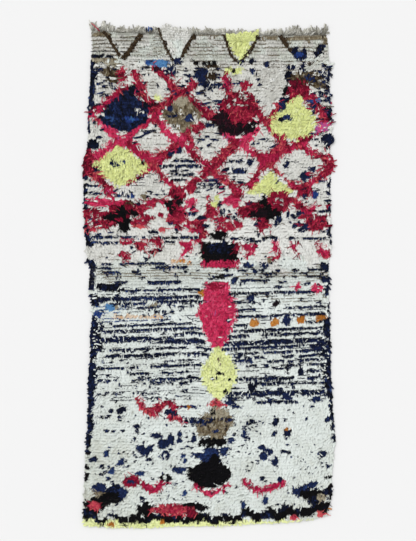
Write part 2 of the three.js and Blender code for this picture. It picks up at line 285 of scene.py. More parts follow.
# fields and marks, in the order they are laid. Each group has one shape and one yarn, and a row is
# its middle x and y, half width, half height and shade
markGroups = [
    # upper band
    ("box", "taupe", [
        (0.5, 111.6, 6.5, 0.8, 0.55), (28.5, 110.3, 5, 0.7, 0.62), (-51, 112, 3.6, 1.0, 0.65),
        (1.6, 96.9, 3.2, 1, 0.15),
    ]),
    ("wide", "taupe", [
        (44.6, 110.2, 10, 1.5, 0.72), (-47, 95, 3.2, 1.6, 0.1), (-45.8, 92, 3.2, 3.6, 0.2),
        (45, 91.2, 8.2, 3.4, 0.25),
    ]),
    ("box", "navy", [
        (-51.8, 101.9, 2.2, 0.8, 0.15), (-46.4, 101.6, 2, 0.6, 0.25), (-51.4, 98.4, 2.4, 0.4, 0.2),
        (1.4, 88.1, 6.2, 1.2, 0.3), (46.6, 91.3, 2.8, 1.5, 0.45),
    ]),
    ("oval", "yellow", [(-24.2, 82.3, 1.8, 1.0, 0.6), (11, 95, 4.2, 1.4, 0.45)]),
    ("wedge", "ivory", [(-15.3, 107.9, 7.7, 7.8, 0.62)]),
    ("wedge", "yellow", [(14.6, 106.3, 7.4, 7.0, 0.5)]),
    ("oval", "navy", [
        (14.7, 98.8, 1.9, 1.0, 0.3), (-14.8, 99.2, 2.2, 1.1, 0.4), (19.6, 99.3, 1.4, 1.2, 0.2),
        (40, 104, 1.8, 1.7, 0.2), (42.6, 101.8, 2.8, 2, 0.4), (44.5, 103.7, 1.2, 1.3, 0.2),
        (26.8, 98, 1, 0.8, 0.4), (38, 96.6, 1.7, 0.9, 0.3), (43.6, 96.4, 1.1, 1.6, 0.3),
        (-17.8, 95.4, 2, 1.3, 0.4), (-17, 93.4, 1.3, 1.2, 0.4), (-3.4, 92.4, 3.2, 2.9, 0.4),
        (19.8, 94.8, 0.9, 1.2, 0.5), (29.4, 86, 1.4, 1, 0.55), (31.4, 84, 1.1, 1.2, 0.65),
        (22.8, 87, 0.8, 1.1, 0.3), (36.8, 92.2, 1.5, 2.5, 0.1), (35, 81.4, 1.9, 1, 0.3),
    ]),
    ("oval", "blue", [
        (42, 102.4, 1.8, 1.4, 0.1), (-23.2, 98.5, 3.9, 1.8, 0.75), (-28.2, 98.6, 1.3, 0.9, 0.3),
    ]),
    ("oval", "black", [
        (-27.6, 79, 2.2, 1.2, 0.6), (-24, 96, 2.4, 0.9, 0.9), (11.6, 94.6, 0.9, 0.6, 0.3),
        (35.6, 85.6, 1.3, 2, 0.2),
    ]),
    ("oval", "taupe", [(0.8, 92.4, 2.8, 1.5, 0.1), (51, 88.4, 3.2, 1.3, 0.35)]),
    ("box", "black", [(-2, 98.2, 5.4, 0.6, 0.2)]),
    # first row of diamonds
    ("wide", "crimson", [
        (-4.2, 68.8, 2, 2.2, 0.5), (14, 77.4, 9.8, 8.4, 0.3), (41.4, 85.4, 5.8, 5.2, 0.36),
    ]),
    ("diamond", "navy", [(-38.8, 76.2, 12, 10.2, 0.3)]),
    ("wide", "navy", [(-40, 72.4, 11, 6, 0.28), (-45.6, 72.3, 3.4, 0.9, 0.95)]),
    ("oval", "ivory", [
        (-33.4, 76.8, 0.7, 0.4, 0.6), (-31.8, 75, 0.6, 0.4, 0.6), (-39.4, 89.4, 1.2, 1.4, 0.7),
        (-36.6, 90.6, 1.4, 2.2, 0.7), (20.6, 86.4, 2.4, 3, 0.6), (11.8, 80.4, 0.7, 1.9, 0.6),
        (9.4, 77.8, 0.8, 1.2, 0.6), (14.4, 83.6, 0.8, 1.8, 0.6), (17, 82, 0.7, 1.6, 0.6),
    ]),
    ("wide", "ivory", [(28.4, 88.4, 7, 9.4, 0.5), (26.8, 78, 2.4, 4.6, 0.56)]),
    ("wide", "blue", [(-36.6, 72, 3, 1.8, 0.0)]),
    ("oval", "blue", [
        (-36.4, 72.2, 1.2, 0.6, 0.35), (50.8, 80.8, 1.5, 1.1, 0.65), (47.4, 80.4, 1.3, 0.8, 0.1),
    ]),
    ("diamond", "taupe", [(-13.1, 74.2, 9.8, 8.6, 0.55)]),
    ("wide", "taupe", [(-13.1, 73.4, 7.6, 5.9, 0.55)]),
    ("oval", "taupe", [(-13.4, 80.6, 2.8, 1.8, 0.95)]),
    ("box", "navy", [(-17, 73.9, 2.3, 0.7, 0.3)]),
    ("diamond", "yellow", [(39.4, 73.5, 10.8, 9.6, 0.5)]),
    ("wide", "yellow", [(39.3, 69.8, 11.8, 6.9, 0.5)]),
    ("oval", "navy", [
        (-54.2, 60.4, 2.6, 2, 0.15), (0.4, 69.6, 1.8, 1, 0.4), (-35.8, 85.6, 1.7, 2.4, 0.1),
        (-29.6, 78.6, 1.7, 1.2, 0.1), (-17.8, 77, 1.5, 1, 0.5), (-9.2, 72.8, 1.8, 1.7, 0.6),
        (36.4, 73, 1.8, 1.3, 0.6), (33.6, 72.3, 0.9, 0.8, 0.2), (33.8, 78.2, 1.3, 1.8, 0.5),
        (48.8, 78.4, 1.4, 0.9, 0.5), (55.6, 63, 2.9, 2.4, 0.3), (55.4, 60.4, 1.2, 1.6, 0.2),
    ]),
    ("oval", "crimson", [
        (-8.4, 40, 2, 2.4, 0.5), (14.5, 73.6, 6.6, 3.2, 0.45), (16.8, 88, 1.9, 2, 0.45),
        (39.4, 89.4, 2.2, 1.2, 0.1), (35, 63.6, 1.2, 2.4, 0.7),
    ]),
    ("box", "ivory", [
        (-14.8, 69.4, 0.5, 1.7, 0.95), (-13.4, 75.8, 0.7, 0.6, 0.95), (-7.2, 72.8, 0.6, 1.8, 0.6),
    ]),
    ("wide", "black", [(5.6, 71.4, 4.6, 5.8, 0.6), (13, 67.8, 8.8, 3.2, 0.62)]),
    ("oval", "black", [(20.5, 70, 3, 0.8, 0.4)]),
    ("oval", "yellow", [(41.6, 80.6, 2.6, 2.6, 0.5)]),
    ("oval", "rose", [(52.3, 68.5, 3, 2.1, 0.98)]),
    # second row
    ("diamond", "ivory", [(-13, 49.4, 11, 9.6, 0.75), (13.5, 49.2, 9.4, 9, 0.75)]),
    ("oval", "taupe", [(-30.8, 36, 1.3, 1, 0.6), (-36.6, 33.6, 1.5, 0.8, 0.2)]),
    ("diamond", "yellow", [(-42.2, 50.2, 14, 9.9, 0.5)]),
    ("wide", "yellow", [(-43.4, 50.6, 9.8, 7, 0.5)]),
    ("box", "navy", [
        (-52.4, 48.8, 1.8, 0.7, 0.2), (-39.5, 36.9, 4.6, 0.7, 0.4), (-22, 37.6, 0.6, 1.5, 0.3),
        (53.8, 29.4, 3, 0.6, 0.2),
    ]),
    ("oval", "blue", [(-36.4, 36.4, 1.3, 0.9, 0.1), (49.4, 37, 1.3, 1.2, 0.05)]),
    ("box", "black", [(-31.8, 51.6, 0.6, 1.5, 0.2)]),
    ("tent", "yellow", [(28.2, 42.2, 11.8, 5.6, 0.5)]),
    ("wide", "ivory", [(41.6, 50.2, 11, 7.6, 0.62), (21, 35, 5.2, 3, 0.7)]),
    ("wide", "crimson", [(44.4, 38, 3.9, 3.2, 0.45)]),
    ("oval", "navy", [
        (-45, 52.2, 1.2, 0.9, 0.3), (-43.2, 51, 1.9, 0.8, 0.5), (-39.6, 52.6, 0.7, 0.7, 0.7),
        (-17.8, 56.8, 1.5, 1.4, 0.4), (-14, 57.2, 1.3, 1, 0.4), (19, 52.4, 1.4, 1.2, 0.35),
        (13.4, 48.2, 4.4, 1.5, 0.4), (7.2, 48.2, 1, 0.6, 0.3), (11.5, 44.7, 0.8, 0.7, 0.2),
        (36.2, 51, 1.2, 1.7, 0.4), (47.8, 49, 1.7, 1.2, 0.4), (44.2, 45.8, 1.9, 2, 0.35),
        (-33, 33, 1.6, 0.7, 0.3), (18.3, 32.8, 1.2, 0.8, 0.6), (32, 43.2, 0.9, 0.7, 0.3),
        (44.7, 36.2, 0.9, 1.1, 0.4), (36.8, 27.8, 0.8, 1.3, 0.3), (39.6, 26.8, 2.1, 0.8, 0.3),
        (42, 28.4, 1.8, 0.8, 0.4),
    ]),
    # third row
    ("tent", "ivory", [(-24.6, 29.4, 6.6, 3.3, 0.75), (-18, 21.2, 2.4, 2.2, 0.75)]),
    ("oval", "yellow", [(3.7, 35.6, 1.4, 1.3, 0.4), (2.1, 33, 1.6, 1.4, 0.4)]),
    ("wide", "rose", [(-8.6, 33.4, 3, 2.4, 0.45), (9.8, 34, 4.2, 2.6, 0.45)]),
    ("oval", "rose", [(12, 31.4, 1.4, 1.4, 0.4)]),
    ("wide", "ivory", [
        (-55, 37.2, 4.4, 1.4, 0.65), (-25.2, 22.6, 4.8, 2.8, 0.75), (-3.2, 33.8, 2.8, 2.4, 0.7),
        (9.8, 28.6, 3.9, 3.7, 0.8),
    ]),
    ("wide", "crimson", [
        (-50.4, 27.6, 8.4, 7, 0.4), (-54.6, 20.8, 3.2, 2, 0.75), (-33, 24.2, 4, 2.8, 0.45),
        (-15.4, 37, 4.4, 3.4, 0.35), (-14.4, 29, 3.2, 3.2, 0.4), (1.2, 28.6, 3.2, 3.2, 0.45),
        (50, 23.4, 5.6, 3.9, 0.4),
    ]),
    ("wide", "rose", [(-49, 33, 9, 2.6, 0.4)]),
    ("wide", "crimson", [
        (-42, 30.2, 7.4, 2.6, 0.35), (-53.4, 28.4, 3.6, 3.4, 0.4), (-46.8, 26.6, 5.4, 1.6, 0.3),
        (-50, 23.6, 6.4, 2.2, 0.45),
    ]),
    ("wide", "ivory", [
        (-49.4, 31, 2.7, 1.7, 0.6), (-55.8, 23.4, 1.2, 1.7, 0.6), (-6.6, 28.4, 5.2, 3.5, 0.75),
    ]),
    ("box", "navy", [(-8.8, 28, 2.4, 0.6, 0.3)]),
    ("oval", "navy", [
        (-26.4, 19.5, 2.1, 0.8, 0.2), (-14.8, 21.3, 1.2, 1, 0.4), (-18.2, 23.8, 1, 0.7, 0.4),
        (-8, 30.6, 1.1, 0.8, 0.3), (-7, 28.2, 1, 1, 0.3), (-3.6, 26, 2, 0.8, 0.3),
        (-2.2, 22.2, 1.2, 0.9, 0.3), (5, 32.6, 0.9, 1.1, 0.3), (9, 29.6, 0.8, 0.5, 0.3),
        (8.8, 26.4, 1.2, 0.8, 0.3), (11.9, 25.8, 0.9, 0.8, 0.3), (12.4, 28, 0.6, 0.5, 0.5),
        (7.2, 30, 0.5, 0.5, 0.5), (5.6, 28.3, 0.9, 1.3, 0.3), (15.6, 27.6, 1, 1, 0.3),
        (41.2, 22.8, 2.4, 0.8, 0.4), (44.6, 21.8, 1.3, 2.2, 0.4), (43, 20.6, 1.6, 0.8, 0.3),
        (32.6, 25.4, 1, 1.5, 0.4), (31, 23.8, 0.7, 0.9, 0.4),
    ]),
    ("oval", "ivory", [
        (-53.6, 34.6, 2.6, 0.5, 0.75), (-47.2, 34.6, 2.2, 0.6, 0.75), (-54.6, 31.4, 1.8, 0.6, 0.6),
        (-54, 27, 2.4, 0.4, 0.75), (-48.4, 25.2, 2.2, 0.55, 0.8), (-32.6, 26.2, 2.6, 0.45, 0.75),
        (-11.6, 23.7, 2.2, 0.6, 0.75), (-7.2, 22.2, 0.8, 0.5, 0.75),
    ]),
    ("wide", "black", [
        (-40.4, 28.6, 5.2, 3.2, 0.05), (-40.6, 25.2, 4.8, 4, 0.05), (-40.2, 21.6, 3, 2.6, 0.05),
    ]),
    ("oval", "black", [
        (-46.2, 26.8, 3.4, 1.2, 0.12), (-35, 28.4, 2, 1.3, 0.12), (-19, 32.7, 1.9, 1.1, 0.3),
        (-17.2, 31.6, 1.5, 3.2, 0.3), (-14, 33.6, 2.2, 1.2, 0.4), (-15.4, 35.2, 0.9, 1.3, 0.4),
    ]),
    ("oval", "crimson", [
        (-32.4, 22.4, 2, 1.2, 0.9), (-38, 27.2, 0.9, 0.8, 0.2), (-42.9, 25.9, 1.9, 0.45, 0.35),
        (-22.2, 27.6, 1.5, 1, 0.4), (-28, 26.2, 3.2, 0.9, 0.4), (-21.9, 20.8, 1.9, 1.3, 0.9),
        (-16, 33, 0.6, 1.6, 0.3), (5.8, 25.4, 2.4, 1.1, 0.5), (4.4, 21.7, 1.8, 1.1, 0.5),
        (7.2, 20.2, 1.2, 0.9, 0.5), (8.4, 23.4, 2.6, 0.8, 0.5), (10, 21.8, 1.7, 1.2, 0.5),
        (13.6, 23.7, 2, 1.1, 0.5), (32.8, 37.2, 3.8, 1.5, 0.4),
    ]),
    ("wide", "crimson", [
        (23.4, 29.4, 10.2, 4.2, 0.25), (16.6, 29, 4, 2.8, 0.35), (36.2, 33.2, 2, 4.8, 0.45),
    ]),
    ("box", "crimson", [(25.2, 23.2, 2.9, 3.2, 0.4)]),
    ("wide", "black", [(27.4, 28.8, 3.9, 4.1, 0.08)]),
    ("oval", "black", [(23.6, 28.4, 3, 2.3, 0.5), (20.2, 27.9, 1.7, 1.2, 0.2), (31.9, 29, 1.6, 1.7, 0.2)]),
    ("wide", "crimson", [(34, 30.8, 3.4, 1.8, 0.3)]),
    ("oval", "navy", [(22, 23, 1, 1.2, 0.4)]),
    ("diamond", "black", [(25.8, 33.6, 2.5, 3.4, 0.15)]),
    ("oval", "crimson", [(29.4, 35.4, 1.5, 2.6, 0.35)]),
    ("oval", "ivory", [(32.4, 34, 2.4, 1.4, 0.7)]),
    # black field and the marks beside it
    ("box", "black", [
        (4.9, 9.6, 8.2, 5.2, 0.08), (-27.6, 9.9, 1.6, 0.4, 0.2), (3.6, -0.8, 3.4, 0.9, 0.15),
    ]),
    ("oval", "navy", [
        (4.6, 12, 6, 3, 0.05), (17.4, 4, 2, 1.0, 0.5), (25.6, 4, 1.9, 0.9, 0.45),
        (53.6, 3.6, 1.7, 1.2, 0.3), (11.9, -3.4, 1.4, 1.5, 0.5), (21.2, 1.2, 1, 0.9, 0.5),
    ]),
    ("wide", "black", [(4, 18, 5.2, 2.2, 0.1)]),
    ("box", "rose", [(5, 4.6, 8.5, 1.6, 0.3)]),
    ("box", "crimson", [(12.6, 12, 1, 2.8, 0.4)]),
    ("box", "orange", [(-13.2, 5.6, 4.4, 0.8, 0.72)]),
    ("oval", "taupe", [(28, 6.6, 0.8, 0.9, 0.6)]),
    # middle column
    ("post", "rose", [(3.5, -19.4, 9.6, 15.4, 0.5)]),
    ("oval", "ivory", [(-2.6, -13.6, 1.4, 0.5, 0.8)]),
    ("oval", "crimson", [(2.4, -6.2, 3.6, 1.4, 0.4)]),
    ("round", "yellow", [(4.2, -46.8, 8.5, 12.6, 0.72)]),
    ("diamond", "crimson", [(3.4, -61, 5, 2.2, 0.85)]),
    ("round", "taupe", [(3, -69.8, 8.9, 7.8, 0.6)]),
    ("oval", "navy", [
        (8.9, -21.9, 0.9, 0.6, 0.5), (3.2, -73.4, 1.4, 0.6, 0.6), (-3.4, -85.2, 5, 2.4, 0.55),
        (1.2, -82.8, 2.8, 1.9, 0.6), (6.4, -82.8, 1.5, 1.6, 0.6),
    ]),
    ("oval", "taupe", [
        (4.7, -40.6, 0.5, 1.7, 0.5), (-2.2, -72.2, 4.1, 3.6, 0.6), (4.2, -65, 5.4, 2, 0.95),
    ]),
    ("box", "navy", [
        (2, -48.6, 2.2, 0.5, 0.1), (9.6, -49.4, 1.3, 0.4, 0.2), (-4.4, -69, 6.2, 1.5, 0.4),
        (6, -67.6, 5.6, 0.7, 0.4),
    ]),
    ("box", "black", [(1.6, -78.3, 6.5, 1.8, 0.1)]),
    ("wide", "black", [(-0.1, -93.8, 10.6, 6.9, 0.05)]),
    ("oval", "black", [
        (4.6, -46.4, 0.8, 0.5, 0.2), (7, -55, 0.7, 0.8, 0.2), (1.3, -64.2, 0.9, 0.9, 0.2),
        (2.4, -87.2, 1.9, 3, 0.05),
    ]),
    # striped part
    ("oval", "navy", [
        (-49.2, -6.3, 4.4, 1.7, 0.15), (-43.4, -7.3, 4.4, 1.4, 0.15), (-42.4, -5.4, 1.8, 0.8, 0.2),
        (19.3, -11.2, 1.8, 0.9, 0.5), (36, -22, 2, 1.9, 0.5), (50.4, -34.6, 3.4, 0.8, 0.4),
        (53, -32, 2.4, 0.9, 0.35), (42.8, -45.6, 1.4, 1.2, 0.2), (19.6, -53.4, 1.7, 2.8, 0.15),
        (36.2, -57, 2, 1.7, 0.5), (9.6, -59.8, 2, 1, 0.5), (12.6, -61.9, 1.8, 0.9, 0.5),
        (50, -58.6, 2, 1.4, 0.5), (16, -40.8, 5, 1.4, 0.4),
    ]),
    ("oval", "orange", [
        (21.3, -23.2, 2.2, 1.2, 0.5), (30.4, -22.9, 2.2, 1.0, 0.45), (42.7, -21.4, 1.7, 1.5, 0.28),
        (51.9, -20.5, 2.3, 1.1, 0.2), (-3.4, -8.8, 1.3, 1, 0.3),
    ]),
    ("oval", "taupe", [(-25.6, -14.2, 1.4, 0.8, 0.8), (-43, -15.6, 1.2, 0.8, 0.85)]),
    ("oval", "blue", [(-46.4, -15.8, 2.2, 1, 0.8), (-51.6, -18.8, 1.9, 1.4, 0.05)]),
    ("oval", "rose", [(41.4, -6.6, 0.9, 1.4, 0.4), (50.4, -6.8, 2.4, 1.6, 0.5)]),
    ("box", "orange", [(-34, -20.2, 11.6, 0.8, 0.9)]),
    ("oval", "black", [(31, -13.8, 1.4, 1.1, 0.5)]),
    ("wide", "navy", [(51, -48.6, 3.2, 1.3, 0.3)]),
    ("box", "navy", [(36.2, -45, 0.8, 2, 0.2)]),
    # lower plain part
    ("box", "navy", [
        (-41, -62, 0.7, 1.2, 0.2), (-10.8, -62.2, 4.4, 0.6, 0.5), (-49.2, -66.9, 3, 0.5, 0.2),
        (-46.4, -73.8, 2.7, 0.6, 0.3), (27, -68, 2, 0.4, 0.3), (35, -83.6, 2, 0.6, 0.2),
    ]),
    ("oval", "black", [(-20.6, -95, 2.2, 1.6, 0.3), (55.2, -95, 1.3, 0.6, 0.2)]),
    ("oval", "crimson", [(-36.4, -96.9, 3.6, 2.4, 0.35)]),
    ("oval", "navy", [
        (-19.6, -64.3, 1.2, 1, 0.4), (-16.6, -65, 1, 1.4, 0.4), (-41.2, -64, 2.2, 0.9, 0.2),
        (-46, -64, 0.8, 0.7, 0.3), (-42, -67.6, 0.9, 1.4, 0.4), (-33.6, -71.2, 1.4, 0.9, 0.3),
        (-33.8, -73.7, 1.2, 0.8, 0.3), (-24.4, -75.9, 2.6, 0.8, 0.4), (-21.6, -79.6, 2.4, 1.7, 0.45),
        (-18, -77.6, 1.3, 2.4, 0.45), (-32, -81.6, 1.4, 1.5, 0.45), (-27.6, -81.6, 1.4, 1.6, 0.45),
        (-29.8, -83.4, 2, 1.4, 0.45), (-20.6, -85, 2.1, 1.7, 0.5), (-13.6, -74.6, 1, 1.2, 0.5),
        (-13.8, -78, 1.4, 0.9, 0.5), (-7, -77.4, 1, 2, 0.4), (-12, -85, 0.8, 0.7, 0.7),
        (-10.8, -87.3, 0.8, 0.9, 0.7), (-14.4, -91.4, 3.4, 1.1, 0.6), (-41, -87.6, 1.6, 1.7, 0.6),
        (-48, -84, 1.4, 1.3, 0.6), (-54, -86.6, 1.9, 0.9, 0.4), (-45.6, -92.4, 1.2, 0.8, 0.7),
        (-50.2, -93.3, 0.9, 0.5, 0.2), (-28, -86.6, 1.4, 0.7, 0.3), (-32.6, -93, 2.4, 0.9, 0.6),
        (-37, -97.2, 2, 1.2, 0.5), (-52, -99.6, 2.9, 1.6, 0.5), (19.4, -69.2, 2.6, 0.8, 0.2),
        (31, -69.2, 1.2, 1.5, 0.3), (45, -67.6, 0.9, 0.6, 0.5), (55, -68.4, 1.2, 0.9, 0.4),
        (16.6, -74.6, 1.2, 1.9, 0.6), (10.4, -78, 1.6, 0.9, 0.6), (36.2, -74.4, 1.5, 2, 0.3),
        (30.6, -74.4, 0.7, 1.1, 0.4), (24.6, -81.4, 2, 1.1, 0.5), (28.8, -83, 1.9, 1.4, 0.45),
        (25, -85, 1.6, 1.5, 0.5), (30.8, -87.6, 1.4, 2.1, 0.4), (24.9, -95.4, 0.8, 0.9, 0.3),
        (53.2, -84, 2.4, 1.2, 0.4), (55, -90.2, 1.1, 0.7, 0.4), (32.6, -96, 1, 0.8, 0.4),
        (26, -106.2, 1.2, 1.6, 0.6), (15.8, -108, 0.9, 1.2, 0.6), (-31.2, -105.4, 1.3, 1, 0.4),
        (-11.4, -102.4, 0.9, 1.3, 0.8),
    ]),
    ("oval", "orange", [(-9, -62.2, 0.8, 0.9, 0.2), (36, -72.5, 0.9, 0.6, 0.3)]),
    ("oval", "ivory", [(-20.6, -84.8, 0.9, 0.6, 0.8), (-21, -95, 0.9, 0.7, 0.8)]),
    # lower border
    ("box", "yellow", [(-28, -117.2, 32, 2.4, 0.85), (32, -118.2, 28, 2.6, 0.9)]),
    ("wide", "taupe", [(-50, -102.4, 5.6, 1.7, 0.7)]),
    ("diamond", "navy", [(-43.8, -101.3, 7, 4, 0.2)]),
    ("wide", "black", [
        (-46.6, -104.6, 6.6, 3, 0.1), (-53.4, -107.4, 5.6, 4, 0.1), (-9.6, -108.4, 5.4, 1.8, 0.1),
    ]),
    ("oval", "crimson", [
        (-53.6, -108.4, 2.3, 1.8, 0.8), (-8.2, -111.6, 2.8, 1.8, 0.2), (52, -112, 1.8, 0.9, 0.9),
        (39.6, -113.6, 1.6, 1.1, 0.8),
    ]),
    ("box", "black", [(-56, -112.6, 2.6, 2.2, 0.1)]),
    ("oval", "navy", [
        (-40.4, -102.6, 2, 2.6, 0.5), (43, -101.4, 5, 2.8, 0.45), (48.6, -98.6, 2.4, 1.4, 0.5),
        (56, -101.8, 2.4, 2.2, 0.2), (36, -110.2, 3.2, 2.2, 0.15),
    ]),
    ("oval", "orange", [(-45.8, -117, 2, 1.3, 0.2), (-21.6, -115.8, 1, 0.8, 0.35)]),
    ("oval", "black", [
        (-29.8, -110, 4.6, 3, 0.1), (-4.2, -109.2, 1.7, 1.5, 0.3), (48, -103, 5.6, 2.6, 0.1),
    ]),
    ("oval", "navy", [(49.6, -106.4, 4.2, 2.6, 0.15)]),
    ("oval", "black", [(53.6, -109, 3.4, 2.4, 0.1), (45.6, -111, 4, 1.6, 0.15)]),
    ("wide", "crimson", [(-17.8, -110.2, 10.6, 2.6, 0.68)]),
    ("oval", "orange", [(55.4, -109.8, 1.1, 0.9, 0.35)]),
    ("oval", "taupe", [(52.6, -104.4, 1.6, 1.6, 0.85)]),
]
marks = [(shape, *row[:4], yarn, row[4]) for shape, yarn, rows in markGroups for row in rows]

# the black zigzag along the lower end: x, y of its middle line, and its width there
zigzag = [
    (-57, -111.4, 3.2), (-51, -115.8, 3.2), (-46, -112.4, 2.6), (-40.4, -115.4, 3.2), (-36, -114.2, 3.4),
    (-31, -115.2, 3.6), (-25, -113.6, 3.2), (-17, -114.4, 2.8), (-9, -115, 3), (-2, -113.4, 3.6),
    (2.4, -115.6, 3), (7, -113, 4), (11, -115, 3.4), (17, -111.2, 4.2), (22, -114, 4.4),
    (28, -112, 5), (33, -113.6, 4.6), (38, -111, 4.4), (44, -111.8, 3.6), (50, -109.6, 2.4),
]

# navy rows between the pile's rows: y at the middle of their half, from x, to x, thickness, cover
navyRows = [
    (17.7, -55, -30, 0.8, 0.75), (17.4, -28, -4.7, 1.6, 0.97), (15.2, -56, -41.8, 0.8, 0.9),
    (15.2, -22, -15.5, 0.8, 0.7), (16.9, 10, 21, 1, 0.9), (15.8, 17.7, 24.4, 1.3, 0.95),
    (17.3, 25, 41, 1.3, 0.9), (16.9, 44, 57, 0.8, 0.9), (5.3, -52, -18, 0.8, 0.65),
    (3.3, -52, -38, 0.7, 0.6), (3.2, -25, -10, 0.9, 0.8), (1.3, -49, -42, 1.3, 0.8),
    (1.3, -36, -33, 0.9, 0.8), (-3.4, -44, -39, 0.7, 0.8), (-3.6, -28.4, -13.4, 1, 0.9),
    (-2.6, 14.8, 28, 0.8, 0.7), (-5.6, 14, 34, 0.9, 0.35), (-1, 16, 54, 0.4, 0.35), (0.4, 15, 54, 0.4, 0.3),
    (2, 15, 54, 0.4, 0.35), (-7.3, -39, -4, 0.8, 0.7), (-10.6, -54, -21, 1.9, 1), (-10.6, -21, -4, 1.5, 1),
    (-13.2, -46, -29, 1.4, 1), (-12.8, -24, -3, 1.4, 0.97), (-15.3, -33, -11, 0.9, 0.7),
    (-17.6, -46, -16, 0.7, 0.5), (-23.4, -46, -8, 0.8, 0.6), (-27.8, -12, -2, 1.4, 0.95),
    (-25.6, -50, -3, 1.1, 0.8), (-29.3, -53, -27, 1.9, 1), (-30, -27, -17, 1.2, 0.9),
    (-31.2, -22.5, -2, 1.9, 1), (-34.6, -46, 1, 0.9, 0.75), (-37.3, -48, 2, 1.2, 0.94),
    (-40.6, -22, -8, 0.7, 0.5), (-43.1, -51, -31, 1, 0.75), (-42.8, -27, -2, 0.8, 0.85),
    (-46, -34, -6, 0.9, 0.55), (-48.8, -52, -43, 0.9, 0.8), (-48.8, -28, -3, 1.5, 1),
    (-50.8, -27, -8, 0.7, 0.5), (-55.4, -52, -18, 0.6, 0.4), (-8.2, 9, 52, 1.3, 0.93),
    (-15.7, 36, 56, 0.7, 0.8), (-12.4, 12, 24, 0.5, 0.4), (-16.2, 13, 22, 0.5, 0.7),
    (-19.2, 12.7, 34, 0.8, 0.8), (-19, 33.5, 54, 1.1, 0.95), (-23, 12, 18, 0.9, 0.8),
    (-25.6, 11, 56, 1.2, 0.75), (-28, 9.8, 18, 1.4, 0.9), (-28, 25, 56.5, 1.4, 0.85),
    (-31, 7.3, 56, 1.9, 0.95), (-33.8, 6.5, 54, 1.3, 0.85), (-36.3, 14, 44, 1, 0.7),
    (-38.4, 12, 40, 0.6, 0.45), (-40.4, 22, 55, 0.9, 0.65), (-42.4, 15, 28, 0.7, 0.55),
    (-44, 24, 38, 0.7, 0.5), (-48.2, 13, 40, 1.6, 0.95), (-48.6, 46, 57, 1.5, 0.9),
    (-50.8, 21, 42, 1.2, 0.8), (-52.8, 11, 40, 0.9, 0.42), (-54.9, 9, 57, 1.7, 0.98),
    (-57.4, 9, 22, 0.9, 0.85), (-59.3, 22, 41, 1.1, 0.65), (-51.2, 42, 57, 0.7, 0.6),
    (-45.6, 46, 57, 0.8, 0.7), (-22.8, 45, 57, 0.9, 0.85), (-42.6, 30, 56, 0.6, 0.6),
    (-38.6, 42, 57, 0.8, 0.7), (-36, 44, 57, 1, 0.8), (89.6, 9, 17, 0.8, 0.9), (53.2, -16, -5.6, 0.8, 0.95),
    (51, -23.4, -2.8, 1.5, 1), (48.5, -17.8, -8.4, 0.6, 0.85), (46.6, -16.8, -6.6, 0.8, 0.9),
    (44.3, -15.9, -10.3, 0.6, 0.85), (53, 9.6, 15.8, 0.9, 1), (49.4, 9, 17.4, 1.3, 1),
    (47, 9.6, 16, 0.6, 0.7), (43, 12.6, 18, 0.5, 0.85), (44.6, -56, -49.5, 0.9, 0.9),
    (41.6, -56, -49, 0.9, 0.9), (38.4, -56, -50, 0.9, 0.85), (37, -43.8, -35.5, 0.9, 0.95),
    (94.8, 51, 57.5, 1.3, 1), (92.2, 52, 57.5, 1, 0.9), (90, 53, 57.5, 1.3, 0.95),
    (87.2, 54, 57.5, 1.2, 0.9), (84.8, 51.5, 57.5, 1.1, 0.95), (81.4, 53.5, 57.5, 0.9, 0.9),
    (76.8, 51, 57.5, 0.8, 0.8),
]

# looser navy dashes: from y, to y, from x, to x, cover, how long a dash is
dashes = [
    (66, 99, -54, -44, 0.4, 3.2), (84, 99, -34, -4, 0.22, 2.2), (76, 97, -6, 5, 0.4, 4),
    (84, 100, 14, 36, 0.07, 1.8), (60, 70, -36, -20, 0.16, 3.2), (58, 69, -8, 5, 0.3, 3.2),
    (60, 68, 20, 30, 0.22, 3.2), (58, 98, 48, 57, 0.3, 2), (18, 45, -56, -46, 0.14, 2.4),
    (40.5, 46.5, -5, 9, 0.5, 3.2), (34, 45, -30, -18, 0.06, 2), (18, 26, 14, 40, 0.14, 2),
    (28, 46, 48, 57, 0.18, 2), (6, 16, -54, 56, 0.1, 2), (-2, 6, -52, 54, 0.14, 2.2),
    (-22, -6, -54, -8, 0.12, 2), (-60, -22, -50, -8, 0.12, 3), (-60, -22, 12, 52, 0.1, 3),
    (-58, -52, -50, -10, 0.1, 2), (-110, -60, -54, 56, 0.025, 2), (-80, -66, 8, 18, 0.08, 2),
    (-92, -80, 8, 20, 0.05, 2),
]

